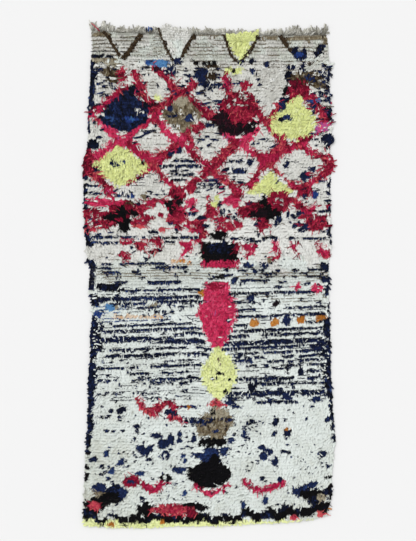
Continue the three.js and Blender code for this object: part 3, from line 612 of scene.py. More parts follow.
# navy and other wool along the sides: side, from y, to y, width, cover, yarn
edges = [
    (-1, 84, 98.5, 2.6, 0.85, "navy"), (-1, 98.5, 103, 1.2, 0.5, "navy"), (-1, 60, 84, 1.8, 0.6, "navy"),
    (-1, 19, 46, 1.5, 0.6, "navy"), (-1, 13, 19, 3, 1, "navy"), (-1, -1, 6.5, 3.4, 0.9, "navy"),
    (-1, -8, -1, 3.6, 1, "navy"), (-1, -15, -9, 3.6, 0.95, "navy"), (-1, -53, -20, 4.8, 0.85, "navy"),
    (-1, -66, -53, 2.6, 0.9, "navy"), (-1, -77, -66, 2.8, 0.85, "navy"), (-1, -84, -77, 1.8, 0.7, "navy"),
    (-1, -98, -84, 1.3, 0.5, "black"), (-1, 45.5, 54.5, 5.5, 0.9, "crimson"),
    (-1, 54.5, 58.5, 3.6, 0.85, "crimson"), (1, 69, 97, 2.4, 0.85, "navy"), (1, 54, 62, 1.6, 0.6, "navy"),
    (1, 28, 47, 1.8, 0.6, "navy"), (1, 13, 25, 2, 0.85, "navy"), (1, 1, 5, 3.2, 0.7, "navy"),
    (1, -10, -1, 5, 0.95, "navy"), (1, -17, -10, 1.4, 0.6, "navy"), (1, -36, -17, 2.8, 0.95, "navy"),
    (1, -54, -36, 5.4, 0.85, "navy"), (1, -62, -54, 2.6, 0.9, "navy"), (1, -88, -62, 1.7, 0.9, "navy"),
    (1, -94, -88, 1.0, 0.8, "navy"), (1, -105, -98, 2.4, 0.8, "black"), (1, 47, 54, 2, 0.6, "crimson"),
]


# the middle column's first block: how wide it is from its lower end to its top
postWidths = [(-1, 0.14), (-0.95, 0.26), (-0.69, 0.47), (-0.38, 0.73), (-0.14, 0.86), (0.17, 1), (0.32, 0.9),
              (0.47, 0.74), (0.71, 0.6), (1, 0.55)]


def inside(shape, across, along):
    # across and along are shares of the mark's half sizes
    sizes = {
        "oval": across ** 2 + along ** 2,
        "box": np.maximum(np.abs(across), np.abs(along)),
        "diamond": np.abs(across) + np.abs(along),
        "wide": np.abs(across) ** 1.5 + np.abs(along) ** 1.5,
        "round": np.abs(across) ** 1.35 + np.abs(along) ** 1.35,
        "wedge": np.maximum(np.abs(across) / np.clip(0.5 + 0.5 * along, 0.02, 1) ** 0.75, np.abs(along)),
        "tent": np.maximum(np.abs(across) / np.clip(0.5 - 0.5 * along, 0.02, 1) ** 0.85, np.abs(along)),
        "post": np.maximum(np.abs(across) / between(postWidths, along), np.abs(along)),
    }
    return sizes[shape] < 1


def isSmall(shape, halfX, halfY):
    return shape == "oval" and max(halfX, halfY) <= 4


def tatter(x, y):
    # how far a small mark's edge is pulled aside and up, in cm
    return 0.75 * cloud(x, y, 1.2, 61), 0.6 * cloud(x, y, 1.0, 62)


def inWedge(x, y):
    # the flat band's two filled triangles, which are pile
    hit = np.zeros(x.shape, bool)
    for shape, atX, atY, halfX, halfY in [row[:5] for row in marks if row[0] == "wedge"]:
        hit |= inside(shape, (x - atX) / halfX, (y - atY) / halfY)
    return hit


def nearLine(x, y, points):
    # distance to a line through the points, and its lean there from straight down, right positive
    nearest, lean = np.full(x.shape, 1e3), np.zeros(x.shape)
    for (ax, ay), (bx, by) in zip(points, points[1:]):
        dx, dy = bx - ax, by - ay
        share = np.clip(((x - ax) * dx + (y - ay) * dy) / (dx * dx + dy * dy), 0, 1)
        away = np.hypot(x - ax - share * dx, y - ay - share * dy)
        closer = away < nearest
        nearest[closer] = away[closer]
        lean[closer] = math.atan2(dx, -dy) if dy < 0 else math.atan2(-dx, dy)
    return nearest, lean


# where the pile lies over: x, y, half width, half height, lean from straight down, right positive
falls = [
    (-50, 37, 9, 6, -0.9), (-52, 26, 8, 6, -0.6), (-32, 24, 9, 6, 0.5), (-12, 22, 9, 5, 0.5),
    (8, 34, 6, 7, 0.5), (26, 27, 8, 7, -0.4), (48, 30, 9, 8, 0.8), (52, 12, 7, 7, 0.7),
    (-40, 10, 10, 6, -0.6), (-8, 12, 7, 6, -0.5), (36, 11, 9, 5, 0.5), (0, 80, 6, 8, 0.35),
    (27, 88, 8, 9, -0.4), (46, 84, 6, 6, 0.6), (53, 72, 5, 8, 0.7), (-52, 76, 6, 6, -0.6),
    (-38, 84, 5, 6, 0.3), (-24, 58, 7, 5, -0.5), (-44, 58, 7, 5, -0.6), (47, 58, 8, 4, 0.8),
    (5, -82, 9, 5, -0.5), (-20, -82, 8, 7, 0.3), (24, -84, 8, 6, 0.3), (-42, -88, 9, 8, -0.2),
    (-48, -106, 9, 6, -0.7), (48, -104, 9, 6, 0.5), (20, -100, 10, 4, -0.3), (3, -62, 5, 4, 0.2),
]


# how the pile leans from straight down on the left, in the middle and on the right, by height
leanRows = {
    "left": [(-118, -0.2), (-105, -0.7), (-85, -0.75), (-62, -0.6), (-50, -0.3), (-30, -0.2), (0, -0.15),
             (20, 0.3), (45, -0.2), (65, 0.3), (85, 0.35), (100, 0.1), (113, 0)],
    "middle": [(-118, -0.2), (-105, -0.7), (-85, -0.7), (-60, -0.6), (-40, -0.35), (-20, -0.2), (0, -0.2),
               (20, -0.5), (45, -0.6), (65, -0.5), (85, -0.3), (100, 0.1), (113, 0)],
    "right": [(-118, -0.1), (-105, -0.5), (-85, -0.4), (-60, -0.3), (-40, -0.1), (-20, -0.1), (0, -0.3),
              (20, -0.6), (45, -0.8), (65, -0.5), (85, -0.5), (100, -0.1), (113, 0)],
}


def leanAt(x, y):
    # the lean of the pile at points in cm
    toRight = fade(x / 36)
    toLeft = fade(-x / 36)
    lean = between(leanRows["middle"], y) * (1 - toRight - toLeft)
    lean = lean + between(leanRows["right"], y) * toRight + between(leanRows["left"], y) * toLeft
    for atX, atY, halfX, halfY, turn in falls:
        lean = lean + turn * np.exp(-((x - atX) / halfX) ** 2 - ((y - atY) / halfY) ** 2)
    return lean


# small navy flecks: from x, to x, from y, to y, how many, half width, half height
fleckFields = [
    (-55, -44, 77, 99, 12, 1.6, 0.6), (-34, -26, 84, 100, 9, 1.4, 0.6), (-25, -7, 84, 96, 22, 1.5, 0.6),
    (-7, 6, 77, 90, 14, 1.5, 0.6), (8, 34, 80, 99, 6, 1.1, 0.5), (48, 57, 60, 98, 26, 1.3, 0.7),
    (-36, -20, 60, 69, 5, 1.9, 0.4), (-8, 6, 58, 69, 7, 2, 0.5), (19, 31, 59, 69, 5, 1.8, 0.4),
    (-56, -47, 60, 72, 6, 1.2, 0.6), (-6, 10, 37, 46, 9, 1.5, 0.5), (-44, -18, 33, 46, 9, 1.1, 0.5),
    (-56, 56, 19, 26, 22, 1.0, 0.5), (40, 56, 26, 46, 12, 1.2, 0.5), (-54, 54, 6, 15, 26, 0.9, 0.5),
    (-52, 54, -5, 5, 34, 1.1, 0.4), (-50, -6, -24, -14, 18, 1.2, 0.5), (12, 54, -16, -9, 16, 0.8, 0.4),
    (10, 54, -60, -36, 22, 1.2, 0.5), (-52, -6, -60, -36, 20, 1.2, 0.4), (-54, 54, -76, -61, 16, 0.9, 0.5),
    (-54, -8, -98, -76, 34, 0.9, 0.6), (10, 56, -98, -76, 14, 0.8, 0.5), (-44, 44, -108, -98, 16, 0.7, 0.5),
    (8, 20, -86, -66, 8, 0.9, 0.6), (8, 24, -92, -66, 46, 0.6, 0.2), (-36, -8, -94, -66, 44, 0.6, 0.2),
    (-54, -34, -102, -78, 30, 0.6, 0.2), (38, 56, -94, -78, 20, 0.6, 0.2), (-6, 8, -92, -76, 16, 0.6, 0.2),
    (36, 56, -106, -98, 20, 0.7, 0.2), (-30, 0, -106, -98, 26, 0.6, 0.2),
]


# long strands lying over another colour: from x, to x, from y, to y, how many, half width,
# half height, yarn, shade
streakFields = [
    (-57, -44, 31, 36, 14, 2.2, 0.4, "rose", 0.4), (-57, -44, 22, 31, 14, 2.2, 0.4, "crimson", 0.5),
    (-56, -44, 22, 36, 7, 1.6, 0.3, "cream", 0.7), (-36, -28, 21, 32, 12, 1.8, 0.4, "crimson", 0.5),
    (-20, -3, 20, 26, 12, 1.8, 0.4, "crimson", 0.5), (-14, -5, 29, 35, 8, 1.6, 0.4, "rose", 0.3),
    (0, 16, 20, 28, 10, 1.4, 0.4, "crimson", 0.5), (5, 15, 31, 41, 14, 1.3, 0.4, "rose", 0.3),
    (18, 34, 27, 36, 16, 1.6, 0.4, "crimson", 0.35), (40, 56, 22, 32, 18, 2.2, 0.4, "crimson", 0.4),
    (44, 58, 46, 62, 10, 1.8, 0.4, "crimson", 0.45), (45, 58, 70, 84, 12, 2.0, 0.4, "crimson", 0.5),
    (-58, -48, 44, 58, 8, 1.6, 0.4, "crimson", 0.5), (50, 55.5, -54, -36, 36, 0.5, 0.3, "ivory", 0.7),
    (-54, -50.5, -50, -20, 44, 0.5, 0.3, "ivory", 0.7), (-54, 54, -60, -8, 90, 1.2, 0.3, "ivory", 0.85),
    (-55, -36, 74, 98, 26, 1.2, 0.4, "cream", 0.7), (48, 57, 60, 97, 26, 1.3, 0.4, "cream", 0.7),
    (10, 20, 78, 87, 12, 1.1, 0.3, "cream", 0.6), (22, 35, 82, 98, 18, 1.2, 0.3, "cream", 0.8),
    (8, 20, 82, 91, 9, 0.9, 0.3, "crimson", 0.35),
]


def strandMarks():
    # every fleck and streak as strands: x, y, half width, yarn and shade
    rng = np.random.default_rng(82)
    made = []
    fields = [(*row, "navy", 0.35) for row in fleckFields] + streakFields
    for fromX, toX, low, high, count, halfX, halfY, name, tone in fields:
        for number in range(count):
            x, y = rng.uniform(fromX, toX), rng.uniform(low, high)
            size, beside = rng.uniform(0.6, 1.5), max(1, round(halfY * rng.uniform(1.6, 5.2)))
            for strand in range(beside):
                down = 0.42 * (strand - (beside - 1) / 2)
                made.append((
                    x + rng.uniform(-0.4, 0.4), y - down, halfX * size * rng.uniform(0.7, 1.15), name,
                    tone + rng.uniform(-0.2, 0.2),
                ))
    return made


strands = strandMarks()


# how light the white wool is by height, as a share of its ramp
plainShade = [
    (-118, 0.7), (-95, 0.82), (-75, 0.8), (-55, 0.86), (-25, 0.82), (-10, 0.8), (3, 0.72), (20, 0.78),
    (45, 0.73), (70, 0.7), (95, 0.62), (106, 0.54), (113, 0.46),
]

# where the plain wool is a little darker or lighter than that: middle x, y, half width, half height, step
tonePatches = [
    (-28, 88, 9, 10, -0.12), (-28, 57, 9, 6, -0.12), (-28, 23, 9, 7, -0.14), (-9, 107, 6, 6, -0.07),
    (49, -44, 8, 8, 0.1), (10, -44, 6, 6, 0.05), (-47, -111, 10, 5, 0.18),
]


def readChart(x, y, level, seed=1):
    # yarn, shade and lean at points in cm. level is the height of their row before it drifts
    rng = np.random.default_rng(seed)
    raggedX = x + rng.normal(0, 0.14, x.shape) + 0.5 * cloud(x, y, 1.8, 31)
    raggedY = y + rng.normal(0, 0.2, x.shape) + 0.6 * cloud(x, y, 2.0, 32)
    warm = (y + 7 * cloud(x, y, 6, 55) > 6) & ((y < 98) | (cloud(x, y, 2.5, 56) > 0))
    plain = np.where(warm, yarns.index("cream"), yarns.index("ivory"))
    yarn = plain.copy()
    shade = between(plainShade, y) + 0.12 * cloud(x, y, 16, 33) + 0.1 * cloud(x, y, 4, 34)
    # darker to the left, in the lower corners and in the right part of the flat band
    shade -= 0.05 * fade((-x - 10) / 30)
    shade -= 0.26 * fade((-x - 30) / 16) * fade((-y - 68) / 14)
    shade -= 0.12 * fade((x - 34) / 14) * fade((-y - 44) / 14)
    shade -= 0.1 * fade((-x - 34) / 12) * np.exp(-((y - 32) / 22) ** 2)
    shade -= 0.08 * fade((x + 16) / 10) * fade((y - 98) / 4)
    for middleX, middleY, wide, tall, step in tonePatches:
        shade += step * np.exp(-((x - middleX) / wide) ** 2 - ((y - middleY) / tall) ** 2)
    shade += 0.16 * cloud(x, y, 5, 38) * fade((y - 98) / 6)
    lean = leanAt(x, y)
    mottle = 0.07 * cloud(x, y, 3, 35)

    def paint(mask, name, tone):
        yarn[mask] = plain[mask] if name == "ivory" else yarns.index(name)
        shade[mask] = tone + mottle[mask]

    wobbleX, wobbleY = 0.4 * cloud(x, y, 1.4, 51), 0.5 * cloud(x, y, 1.5, 52)
    patchy, streaky = cloud(x, y, 3.2, 53), 0.22 * cloud(x, y, 1.3, 54)
    for name, tone, width, points in arms:
        ragged = min(width / 3, 1)
        away, turn = nearLine(raggedX + ragged * wobbleX, raggedY + ragged * wobbleY, points)
        here = away < width / 2
        paint(here, name, tone)
        shade[here] += streaky[here]
        if name == "crimson" and points[0][1] > 0:
            paint(here & (patchy > 0.35), "rose", 0.25)
        lean[here] = 0.4 * lean[here] + 0.5 * np.clip(turn[here], -1.3, 1.3)
    pullX, pullY = tatter(x, y)
    for shape, atX, atY, halfX, halfY, name, tone in marks:
        loose = min(halfX + halfY, 3) / 3 if isSmall(shape, halfX, halfY) else 0
        across, along = raggedX - atX + loose * pullX, raggedY - atY + loose * pullY
        paint(inside(shape, across / halfX, along / halfY), name, tone)
    middle = between([(row[0], row[1]) for row in zigzag], raggedX)
    thick = between([(row[0], row[2]) for row in zigzag], raggedX)
    dark = np.abs(raggedY - middle) < thick / 2
    paint(dark, "black", 0.1)
    paint(dark & (patchy > 0.25), "navy", 0.15)
    for side, low, high, width, cover, name in edges:
        rim = (rightEdge if side > 0 else leftEdge)(y / 100) * 100
        near = (rim - side * x < width * (0.75 + 0.45 * cloud(x, y, 2.4, 36))) & (y > low) & (y < high)
        paint(near & (cloud(x, y * 1.2, 1.6, 37) < 2 * cover - 0.85), name, 0.25)
    return yarn, np.clip(shade, 0, 1), lean


print("chart ready")


# materials

# a lock's shade runs from 0 to just under 1, and is rounded down to one of these steps
shadeSteps = 16
lightest = 0.999

# What each wool gives the eye: matt, soft at the edges from loose fibres, a little darker at the root
# as painted shade under the row above, and each lock its own shade. The ramps run from the darkest
# lock to the lightest.
woolRamps = {
    "ivory": ("handspun ivory wool", [(0, "#8F8E83"), (0.2, "#B3B4AB"), (0.4, "#CACCC1"),
                                      (0.6, "#DBE0D9"), (0.8, "#E2E8E4"), (1, "#ECF2EF")]),
    "cream": ("handspun cream wool", [(0, "#87857D"), (0.2, "#AFAEA7"), (0.4, "#CAC9C2"),
                                      (0.6, "#DDDDD7"), (0.8, "#E6E6E2"), (1, "#EFF0EC")]),
    "navy": ("indigo dyed wool", [(0, "#03060F"), (0.3, "#111A36"), (0.6, "#1E2C57"), (1, "#36548C")]),
    "crimson": ("madder red wool", [(0, "#47081C"), (0.25, "#7E0E2C"), (0.5, "#A3173A"),
                                    (0.75, "#C43A54"), (1, "#DA6464")]),
    "rose": ("rose dyed wool", [(0, "#96163C"), (0.4, "#CC2A56"), (0.8, "#E6547C"), (0.95, "#E2557F"),
                                (1, "#B95A9C")]),
    "yellow": ("lemon yellow wool", [(0, "#C6CA86"), (0.4, "#E0E799"), (0.7, "#E9F0A9"), (1, "#F1F6BC")]),
    "taupe": ("undyed brown wool", [(0, "#2A1F15"), (0.2, "#453625"), (0.45, "#71644C"),
                                    (0.7, "#8A7E67"), (1, "#B0A994")]),
    "black": ("black sheep's wool", [(0, "#060609"), (0.4, "#0F0E13"), (0.8, "#2A0F1C"), (1, "#401422")]),
    "blue": ("sky blue wool", [(0, "#223878"), (0.3, "#2C5596"), (0.6, "#4A7CB2"), (1, "#669CCB")]),
    "orange": ("ochre orange wool", [(0, "#8C5A24"), (0.35, "#C47A2E"), (0.65, "#D09650"),
                                     (1, "#E0CDB8")]),
    "warp": ("undyed warp yarn", [(0, "#77746A"), (0.5, "#B9B7AC"), (1, "#E4E3DB")]),
}

# how dark the root of a lock is painted beside its tip, as painted shade under the row above, and
# how much its loose fibres lift its edge
woolRootShadeAndSheen = {"navy": (0.4, 0.03), "black": (0.4, 0.03), "crimson": (0.5, 0.06), "yellow": (0.66, 0.05),
             "ivory": (0.74, 0.06), "cream": (0.72, 0.06)}
otherRootShadeAndSheen = (0.62, 0.06)


def newMaterial(title, values):
    # a material, its tree, and its shader's inputs, set by their names
    material = bpy.data.materials.new(title)
    material.use_nodes = True
    surface = material.node_tree.nodes["Principled BSDF"].inputs
    for name, value in values.items():
        surface[name].default_value = value
    return material, material.node_tree, surface


def fillRamp(node, stops):
    ramp = node.color_ramp
    while len(ramp.elements) > 2:
        ramp.elements.remove(ramp.elements[-1])
    for element, (at, colour) in zip(ramp.elements, (stops[0], stops[-1])):
        element.position, element.color = at, linear(colour)
    for at, colour in stops[1:-1]:
        ramp.elements.new(at).color = linear(colour)


def woolMaterial(key):
    # reads the lock's own map: across it holds the lock's shade, along it the way from root to tip
    title, stops = woolRamps[key]
    paintedRootShade, sheen = woolRootShadeAndSheen.get(key, otherRootShadeAndSheen)
    material, tree, surface = newMaterial(title, {
        "Roughness": 0.88, "Specular IOR Level": 0.14, "Sheen Weight": sheen, "Sheen Roughness": 0.45,
    })
    yarnMap = addNode(tree, "ShaderNodeUVMap", uv_map="yarn")
    shadePart, wayPart = addNode(tree, "ShaderNodeSeparateXYZ", {0: yarnMap}).outputs[:2]
    step = addNode(tree, "ShaderNodeMath", {0: shadePart, 1: float(shadeSteps)}, operation="MULTIPLY")
    whole = addNode(tree, "ShaderNodeMath", {0: step}, operation="FLOOR")
    tone = addNode(tree, "ShaderNodeMath", {0: whole, 1: shadeSteps - 1.0}, operation="DIVIDE")
    ramp = addNode(tree, "ShaderNodeValToRGB", {0: tone})
    fillRamp(ramp, stops)
    # fibres run along the lock, about 1 mm apart, and twist a little round it
    stretched = addNode(tree, "ShaderNodeMapping", {0: yarnMap, 3: (110.0, 5.0, 1.0)})
    fibres = addNode(tree, "ShaderNodeTexNoise", {"Vector": stretched, "Scale": 1.0, "Detail": 3.0,
                                                  "Roughness": 0.6, "Distortion": 0.3})
    # painted shade: the lock's colour darkens towards its root, where the row above shades it
    fromRoot = addNode(tree, "ShaderNodeMapRange", {0: wayPart, 1: 0.2, 2: 0.62, 3: paintedRootShade, 4: 1.0})
    streaks = addNode(tree, "ShaderNodeMapRange", {0: fibres, 1: 0.25, 2: 0.75, 3: 0.86, 4: 1.1})
    light = addNode(tree, "ShaderNodeMath", {0: fromRoot, 1: streaks}, operation="MULTIPLY")
    tint = addNode(tree, "ShaderNodeVectorMath", {0: ramp, "Scale": light}, operation="SCALE")
    bump = addNode(tree, "ShaderNodeBump", {"Strength": 0.5, "Distance": 0.001, "Height": fibres})
    tree.links.new(tint.outputs[0], surface["Base Color"])
    tree.links.new(bump.outputs[0], surface["Normal"])
    return material


wools = {key: woolMaterial(key) for key in woolRamps}
print("wools mixed")


# locks: one tree grows every tuft, weft end and warp end from its root

lockInputs = {"Points": "Int", "Thickness": "Float", "Wander": "Float", "Tip": "Float", "Droop": "Float",
              "Floor": "Float", "Wool": "Material"}
lockShape = ("heading", "reach", "rise", "arch", "bend", "girth")
# how far over the floor the lowest yarn lies
floorGap = 0.0004


def lockTree():
    tree = bpy.data.node_groups.new("yarnLocks", "GeometryNodeTree")
    face = tree.interface
    face.new_socket("Geometry", in_out="INPUT", socket_type="NodeSocketGeometry")
    for name, kind in lockInputs.items():
        face.new_socket(name, in_out="INPUT", socket_type="NodeSocket" + kind)
    face.new_socket("Geometry", in_out="OUTPUT", socket_type="NodeSocketGeometry")
    add = partial(addNode, tree)
    given = add("NodeGroupInput").outputs
    here = add("GeometryNodeInputPosition")
    # what is stored at each point of a lock: its shape, its shade, and the way along and round it
    stored = {name: add("GeometryNodeInputNamedAttribute", {"Name": name}, data_type="FLOAT")
              for name in (*lockShape, "shade", "along", "around")}
    way = stored["along"]

    def keepAbove(geometry, height):
        x, y, z = add("ShaderNodeSeparateXYZ", {0: here}).outputs
        higher = add("ShaderNodeMath", {0: z, 1: height}, operation="MAXIMUM")
        lifted = add("ShaderNodeCombineXYZ", {0: x, 1: y, 2: higher})
        return add("GeometryNodeSetPosition", {"Geometry": geometry, "Position": lifted})

    # a short line stands at each root, and is then laid out as its lock
    stem = add("GeometryNodeCurvePrimitiveLine", {"End": (0.001, 0.0, 0.0)})
    stem = add("GeometryNodeResampleCurve", {"Curve": stem, "Count": given["Points"]})
    stems = add("GeometryNodeInstanceOnPoints", {"Points": given["Geometry"], "Instance": stem})
    loose = add("GeometryNodeRealizeInstances", {0: stems})
    factor = add("GeometryNodeSplineParameter").outputs["Factor"]
    marked = add("GeometryNodeStoreNamedAttribute", {"Geometry": loose, "Name": "along", "Value": factor},
                 data_type="FLOAT", domain="POINT")

    # ahead by its reach, aside by its bend, and up by its rise and arch, less its droop
    ahead = add("ShaderNodeMath", {0: stored["reach"], 1: way}, operation="MULTIPLY")
    late = add("ShaderNodeMath", {0: way, 1: 2.0}, operation="POWER")
    aside = add("ShaderNodeMath", {0: stored["bend"], 1: late}, operation="MULTIPLY")
    early = add("ShaderNodeMath", {0: way, 1: 0.8}, operation="POWER")
    climb = add("ShaderNodeMath", {0: stored["rise"], 1: early}, operation="MULTIPLY")
    halfTurn = add("ShaderNodeMath", {0: way, 1: math.pi}, operation="MULTIPLY")
    bow = add("ShaderNodeMath", {0: halfTurn}, operation="SINE")
    arch = add("ShaderNodeMath", {0: stored["arch"], 1: bow}, operation="MULTIPLY")
    atTip = add("ShaderNodeMath", {0: way, 1: 6.0}, operation="POWER")
    droop = add("ShaderNodeMath", {0: given["Droop"], 1: atTip}, operation="MULTIPLY")
    top = add("ShaderNodeMath", {0: climb, 1: arch}, operation="ADD")
    up = add("ShaderNodeMath", {0: top, 1: droop}, operation="SUBTRACT")
    path = add("ShaderNodeCombineXYZ", {0: ahead, 1: aside, 2: up})
    turned = add("ShaderNodeVectorRotate", {"Vector": path, "Angle": stored["heading"]},
                 rotation_type="Z_AXIS")
    # and it wanders more and more towards its tip
    rough = add("ShaderNodeVectorMath", {0: here, 1: turned}, operation="ADD")
    ruffle = add("ShaderNodeTexNoise", {"Vector": rough, "Scale": 75.0, "Detail": 1.0})
    centred = add("ShaderNodeVectorMath", {0: ruffle.outputs["Color"], 1: (0.5, 0.5, 0.5)},
                  operation="SUBTRACT")
    wander = add("ShaderNodeMath", {0: given["Wander"], 1: way}, operation="MULTIPLY")
    drift = add("ShaderNodeVectorMath", {0: centred, "Scale": wander}, operation="SCALE")
    moved = add("ShaderNodeVectorMath", {0: turned, 1: drift}, operation="ADD")
    laid = add("GeometryNodeSetPosition", {"Geometry": marked, "Offset": moved})
    laid = keepAbove(laid, given["Floor"])

    # fullest before the middle, slimmer at the root, and closing at the cut tip
    fromMiddle = add("ShaderNodeMath", {0: way, 1: 2.0, 2: -0.9}, operation="MULTIPLY_ADD")
    apart = add("ShaderNodeMath", {0: fromMiddle}, operation="ABSOLUTE")
    swell = add("ShaderNodeMath", {0: apart, 1: 2.0}, operation="POWER")
    profile = add("ShaderNodeMath", {0: swell, 1: given["Tip"], 2: 1.0}, operation="MULTIPLY_ADD")
    size = add("ShaderNodeMath", {0: stored["girth"], 1: profile}, operation="MULTIPLY")
    upright = add("GeometryNodeSetCurveNormal", {0: laid}, mode="Z_UP")

    # across the lock: left edge, ridge and right edge, open underneath where nobody sees it
    across = add("GeometryNodeCurvePrimitiveLine", {"Start": (-0.5, 0.0, 0.0), "End": (0.5, 0.0, 0.0)})
    across = add("GeometryNodeResampleCurve", {"Curve": across, "Count": 3})
    turn = add("ShaderNodeMath", {0: add("GeometryNodeInputIndex"), 1: 2.0}, operation="DIVIDE")
    overTop = add("ShaderNodeMath", {0: turn, 1: math.pi}, operation="MULTIPLY")
    hump = add("ShaderNodeMath", {0: overTop}, operation="SINE")
    ridge = add("ShaderNodeMath", {0: hump, 1: given["Thickness"]}, operation="MULTIPLY")
    raised = add("ShaderNodeCombineXYZ", {0: 0.0, 1: ridge, 2: 0.0})
    ring = add("GeometryNodeSetPosition", {"Geometry": across, "Offset": raised})
    ring = add("GeometryNodeStoreNamedAttribute", {"Geometry": ring, "Name": "around", "Value": turn},
               data_type="FLOAT", domain="POINT")
    skin = add("GeometryNodeCurveToMesh", {"Curve": upright, "Profile Curve": ring, "Scale": size})
    skin = keepAbove(skin, floorGap)

    # the lock's map: its shade picks a column, and the column holds the way round and along it
    column = add("ShaderNodeMath", {0: stored["around"], 1: 0.84, 2: 0.08}, operation="MULTIPLY_ADD")
    shifted = add("ShaderNodeMath", {0: stored["shade"], 1: column}, operation="ADD")
    mapX = add("ShaderNodeMath", {0: shifted, 1: float(shadeSteps)}, operation="DIVIDE")
    mapY = add("ShaderNodeMath", {0: way, 1: 0.94, 2: 0.03}, operation="MULTIPLY_ADD")
    spot = add("ShaderNodeCombineXYZ", {0: mapX, 1: mapY})
    for name in ("yarn", "OFBake"):
        skin = add("GeometryNodeStoreNamedAttribute", {"Geometry": skin, "Name": name, "Value": spot},
                   data_type="FLOAT2", domain="CORNER")
    skin = add("GeometryNodeSetShadeSmooth", {0: skin})
    skin = add("GeometryNodeRealizeInstances", {0: skin})
    skin = add("GeometryNodeSetMaterial", {"Geometry": skin, "Material": given["Wool"]})
    add("NodeGroupOutput", {0: skin})
    return tree


lockGroup = lockTree()


def setInputs(modifier, values):
    # by the socket's identifier, before the first evaluation
    for item in modifier.node_group.interface.items_tree:
        if item.in_out == "INPUT" and item.name in values:
            modifier[item.identifier] = values[item.name]


def growLocks(title, roots, yarn, look):
    # roots holds arrays: x, y and z of each root, the shape of its lock, and its shade
    count = len(roots["x"])
    points = bpy.data.meshes.new(title + "Roots")
    points.vertices.add(count)
    places = np.stack([roots["x"], roots["y"], roots["z"]], 1).astype(np.float32)
    points.vertices.foreach_set("co", places.ravel())
    steps = np.clip(np.floor(roots["shade"] * shadeSteps), 0, shadeSteps - 1)
    for key, values in [(key, roots[key]) for key in lockShape] + [("shade", steps)]:
        points.attributes.new(key, "FLOAT", "POINT").data.foreach_set("value", values.astype(np.float32))
    holder = bpy.data.objects.new(title + "Roots", points)
    bpy.context.scene.collection.objects.link(holder)
    modifier = holder.modifiers.new("locks", "NODES")
    modifier.node_group = lockGroup
    setInputs(modifier, {**look, "Wool": wools[yarn]})
    graph = bpy.context.evaluated_depsgraph_get()
    mesh = bpy.data.meshes.new_from_object(holder.evaluated_get(graph), depsgraph=graph)
    bpy.data.objects.remove(holder)
    bpy.data.meshes.remove(points)
    for key in (*lockShape, "shade", "along", "around"):
        if key in mesh.attributes:
            mesh.attributes.remove(mesh.attributes[key])
    mesh.name = title
    piece = bpy.data.objects.new(title, mesh)
    bpy.context.scene.collection.objects.link(piece)
    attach(piece, "root")
    triangles = len(mesh.loops) - 2 * len(mesh.polygons)
    print(f"{title}: {count} locks, {triangles} triangles")
    return piece


# pile

pile = {
    "rowPitch": 0.0138, "lockPitch": 0.0047, "overlap": 1.75, "arch": 0.0014, "girth": 0.0087, "rise": 0.0072,
    "lumpRise": 0.0012, "sideLean": 0.4, "tightUnder": 1.3, "curls": {"rose": 1, "yellow": 0.45},
    "curlsBelow": -0.02, "seed": 21,
}
pileLook = {"Points": 5, "Thickness": 0.34, "Wander": 0.009, "Tip": -0.42, "Droop": 0.004, "Floor": 0.002}
rowLook = {**pileLook, "Points": 4, "Wander": 0.006}

# where the rows lie closer: from y, to y in cm, their pitch, a lock's reach in pitches, its arch
closeRows = [(-4.2, 4.6, 0.0128, 1.2, 0.0012), (100.6, 113, 0.0168, 0.98, 0.0042)]

# the other kinds of lock: seed, how far apart they stand (in cm where the chart gives their places),
# how far their roots lie over the weave, and their sizes. (low, high) is a range, (size, low, high)
# a size times a range, and bend and spread are how far bends and shades vary
kinds = {
    "navyRow": {"seed": 23, "pitch": 0.45, "lift": 0.0035, "rise": (0.0048, 0.8, 1.2), "arch": 0.0015,
                "bend": 0.003, "girth": (0.0066, 0.75, 1.3), "spread": (0, 0.13)},
    "wisp": {"seed": 24, "share": 0.12, "lift": 0.005, "reach": (0.012, 0.032), "rise": (0.002, 0.0045),
             "arch": 0.0022, "bend": 0.004, "girth": (0.003, 0.0046), "spread": (0.2, 0.12)},
    "weft": {"seed": 25, "pitch": 1.15, "lift": 0.0035, "reach": (0.011, 0.018), "rise": 0.0,
             "arch": (0.004, 0.006), "bend": 0.002, "spread": (0, 0.08)},
    "stray": {"seed": 27, "lift": 0.0065, "reach": (0.014, 0.038), "rise": (0, 0.003), "arch": 0.002,
              "bend": 0.006, "girth": (0.0026, 0.0042), "spread": (0.03, 0.14)},
    "outline": {"seed": 28, "pitch": 0.4, "beside": 0.6, "lift": 0.006, "reach": (0.008, 0.014),
                "rise": 0.0015, "arch": 0.0015, "bend": 0.002, "girth": (0.0055, 0.0085),
                "shades": (0.02, 0.3)},
    "tuft": {"seed": 29, "pitch": 0.45, "rows": 0.55, "lift": 0.0045, "rise": (0.0035, 0.005),
             "arch": 0.0015, "bend": 0.003, "girth": (0.0044, 0.0072), "spread": (0, 0.1)},
    "strand": {"seed": 30, "lift": 0.0055, "rise": (0.001, 0.003), "arch": 0.0022, "bend": 0.0035,
               "girth": (0.0045, 0.0078), "spread": (0, 0.1)},
    "top": {"seed": 31, "pitch": 0.46, "lift": 0.0045, "reach": (0.013, 0.02), "rise": (-0.001, 0.002),
            "arch": 0.002, "bend": 0.003, "girth": (0.0055, 0.0078), "spread": (0, 0.14)},
    "selvedge": {"seed": 61, "pitch": 0.0062, "reach": (0.004, 0.0085), "rise": -0.0058, "arch": 0.002,
                 "bend": 0.002, "girth": (0.0055, 0.0085), "spread": (0, 0.07)},
    "warpEnd": {"seed": 71, "bundles": 118, "yarnsEach": 6, "peakPitch": 0.079, "rise": (-0.004, 0.002),
                "arch": 0.003, "bend": 0.009, "girth": (0.0042, 0.0072), "spread": (0, 0.26)},
}


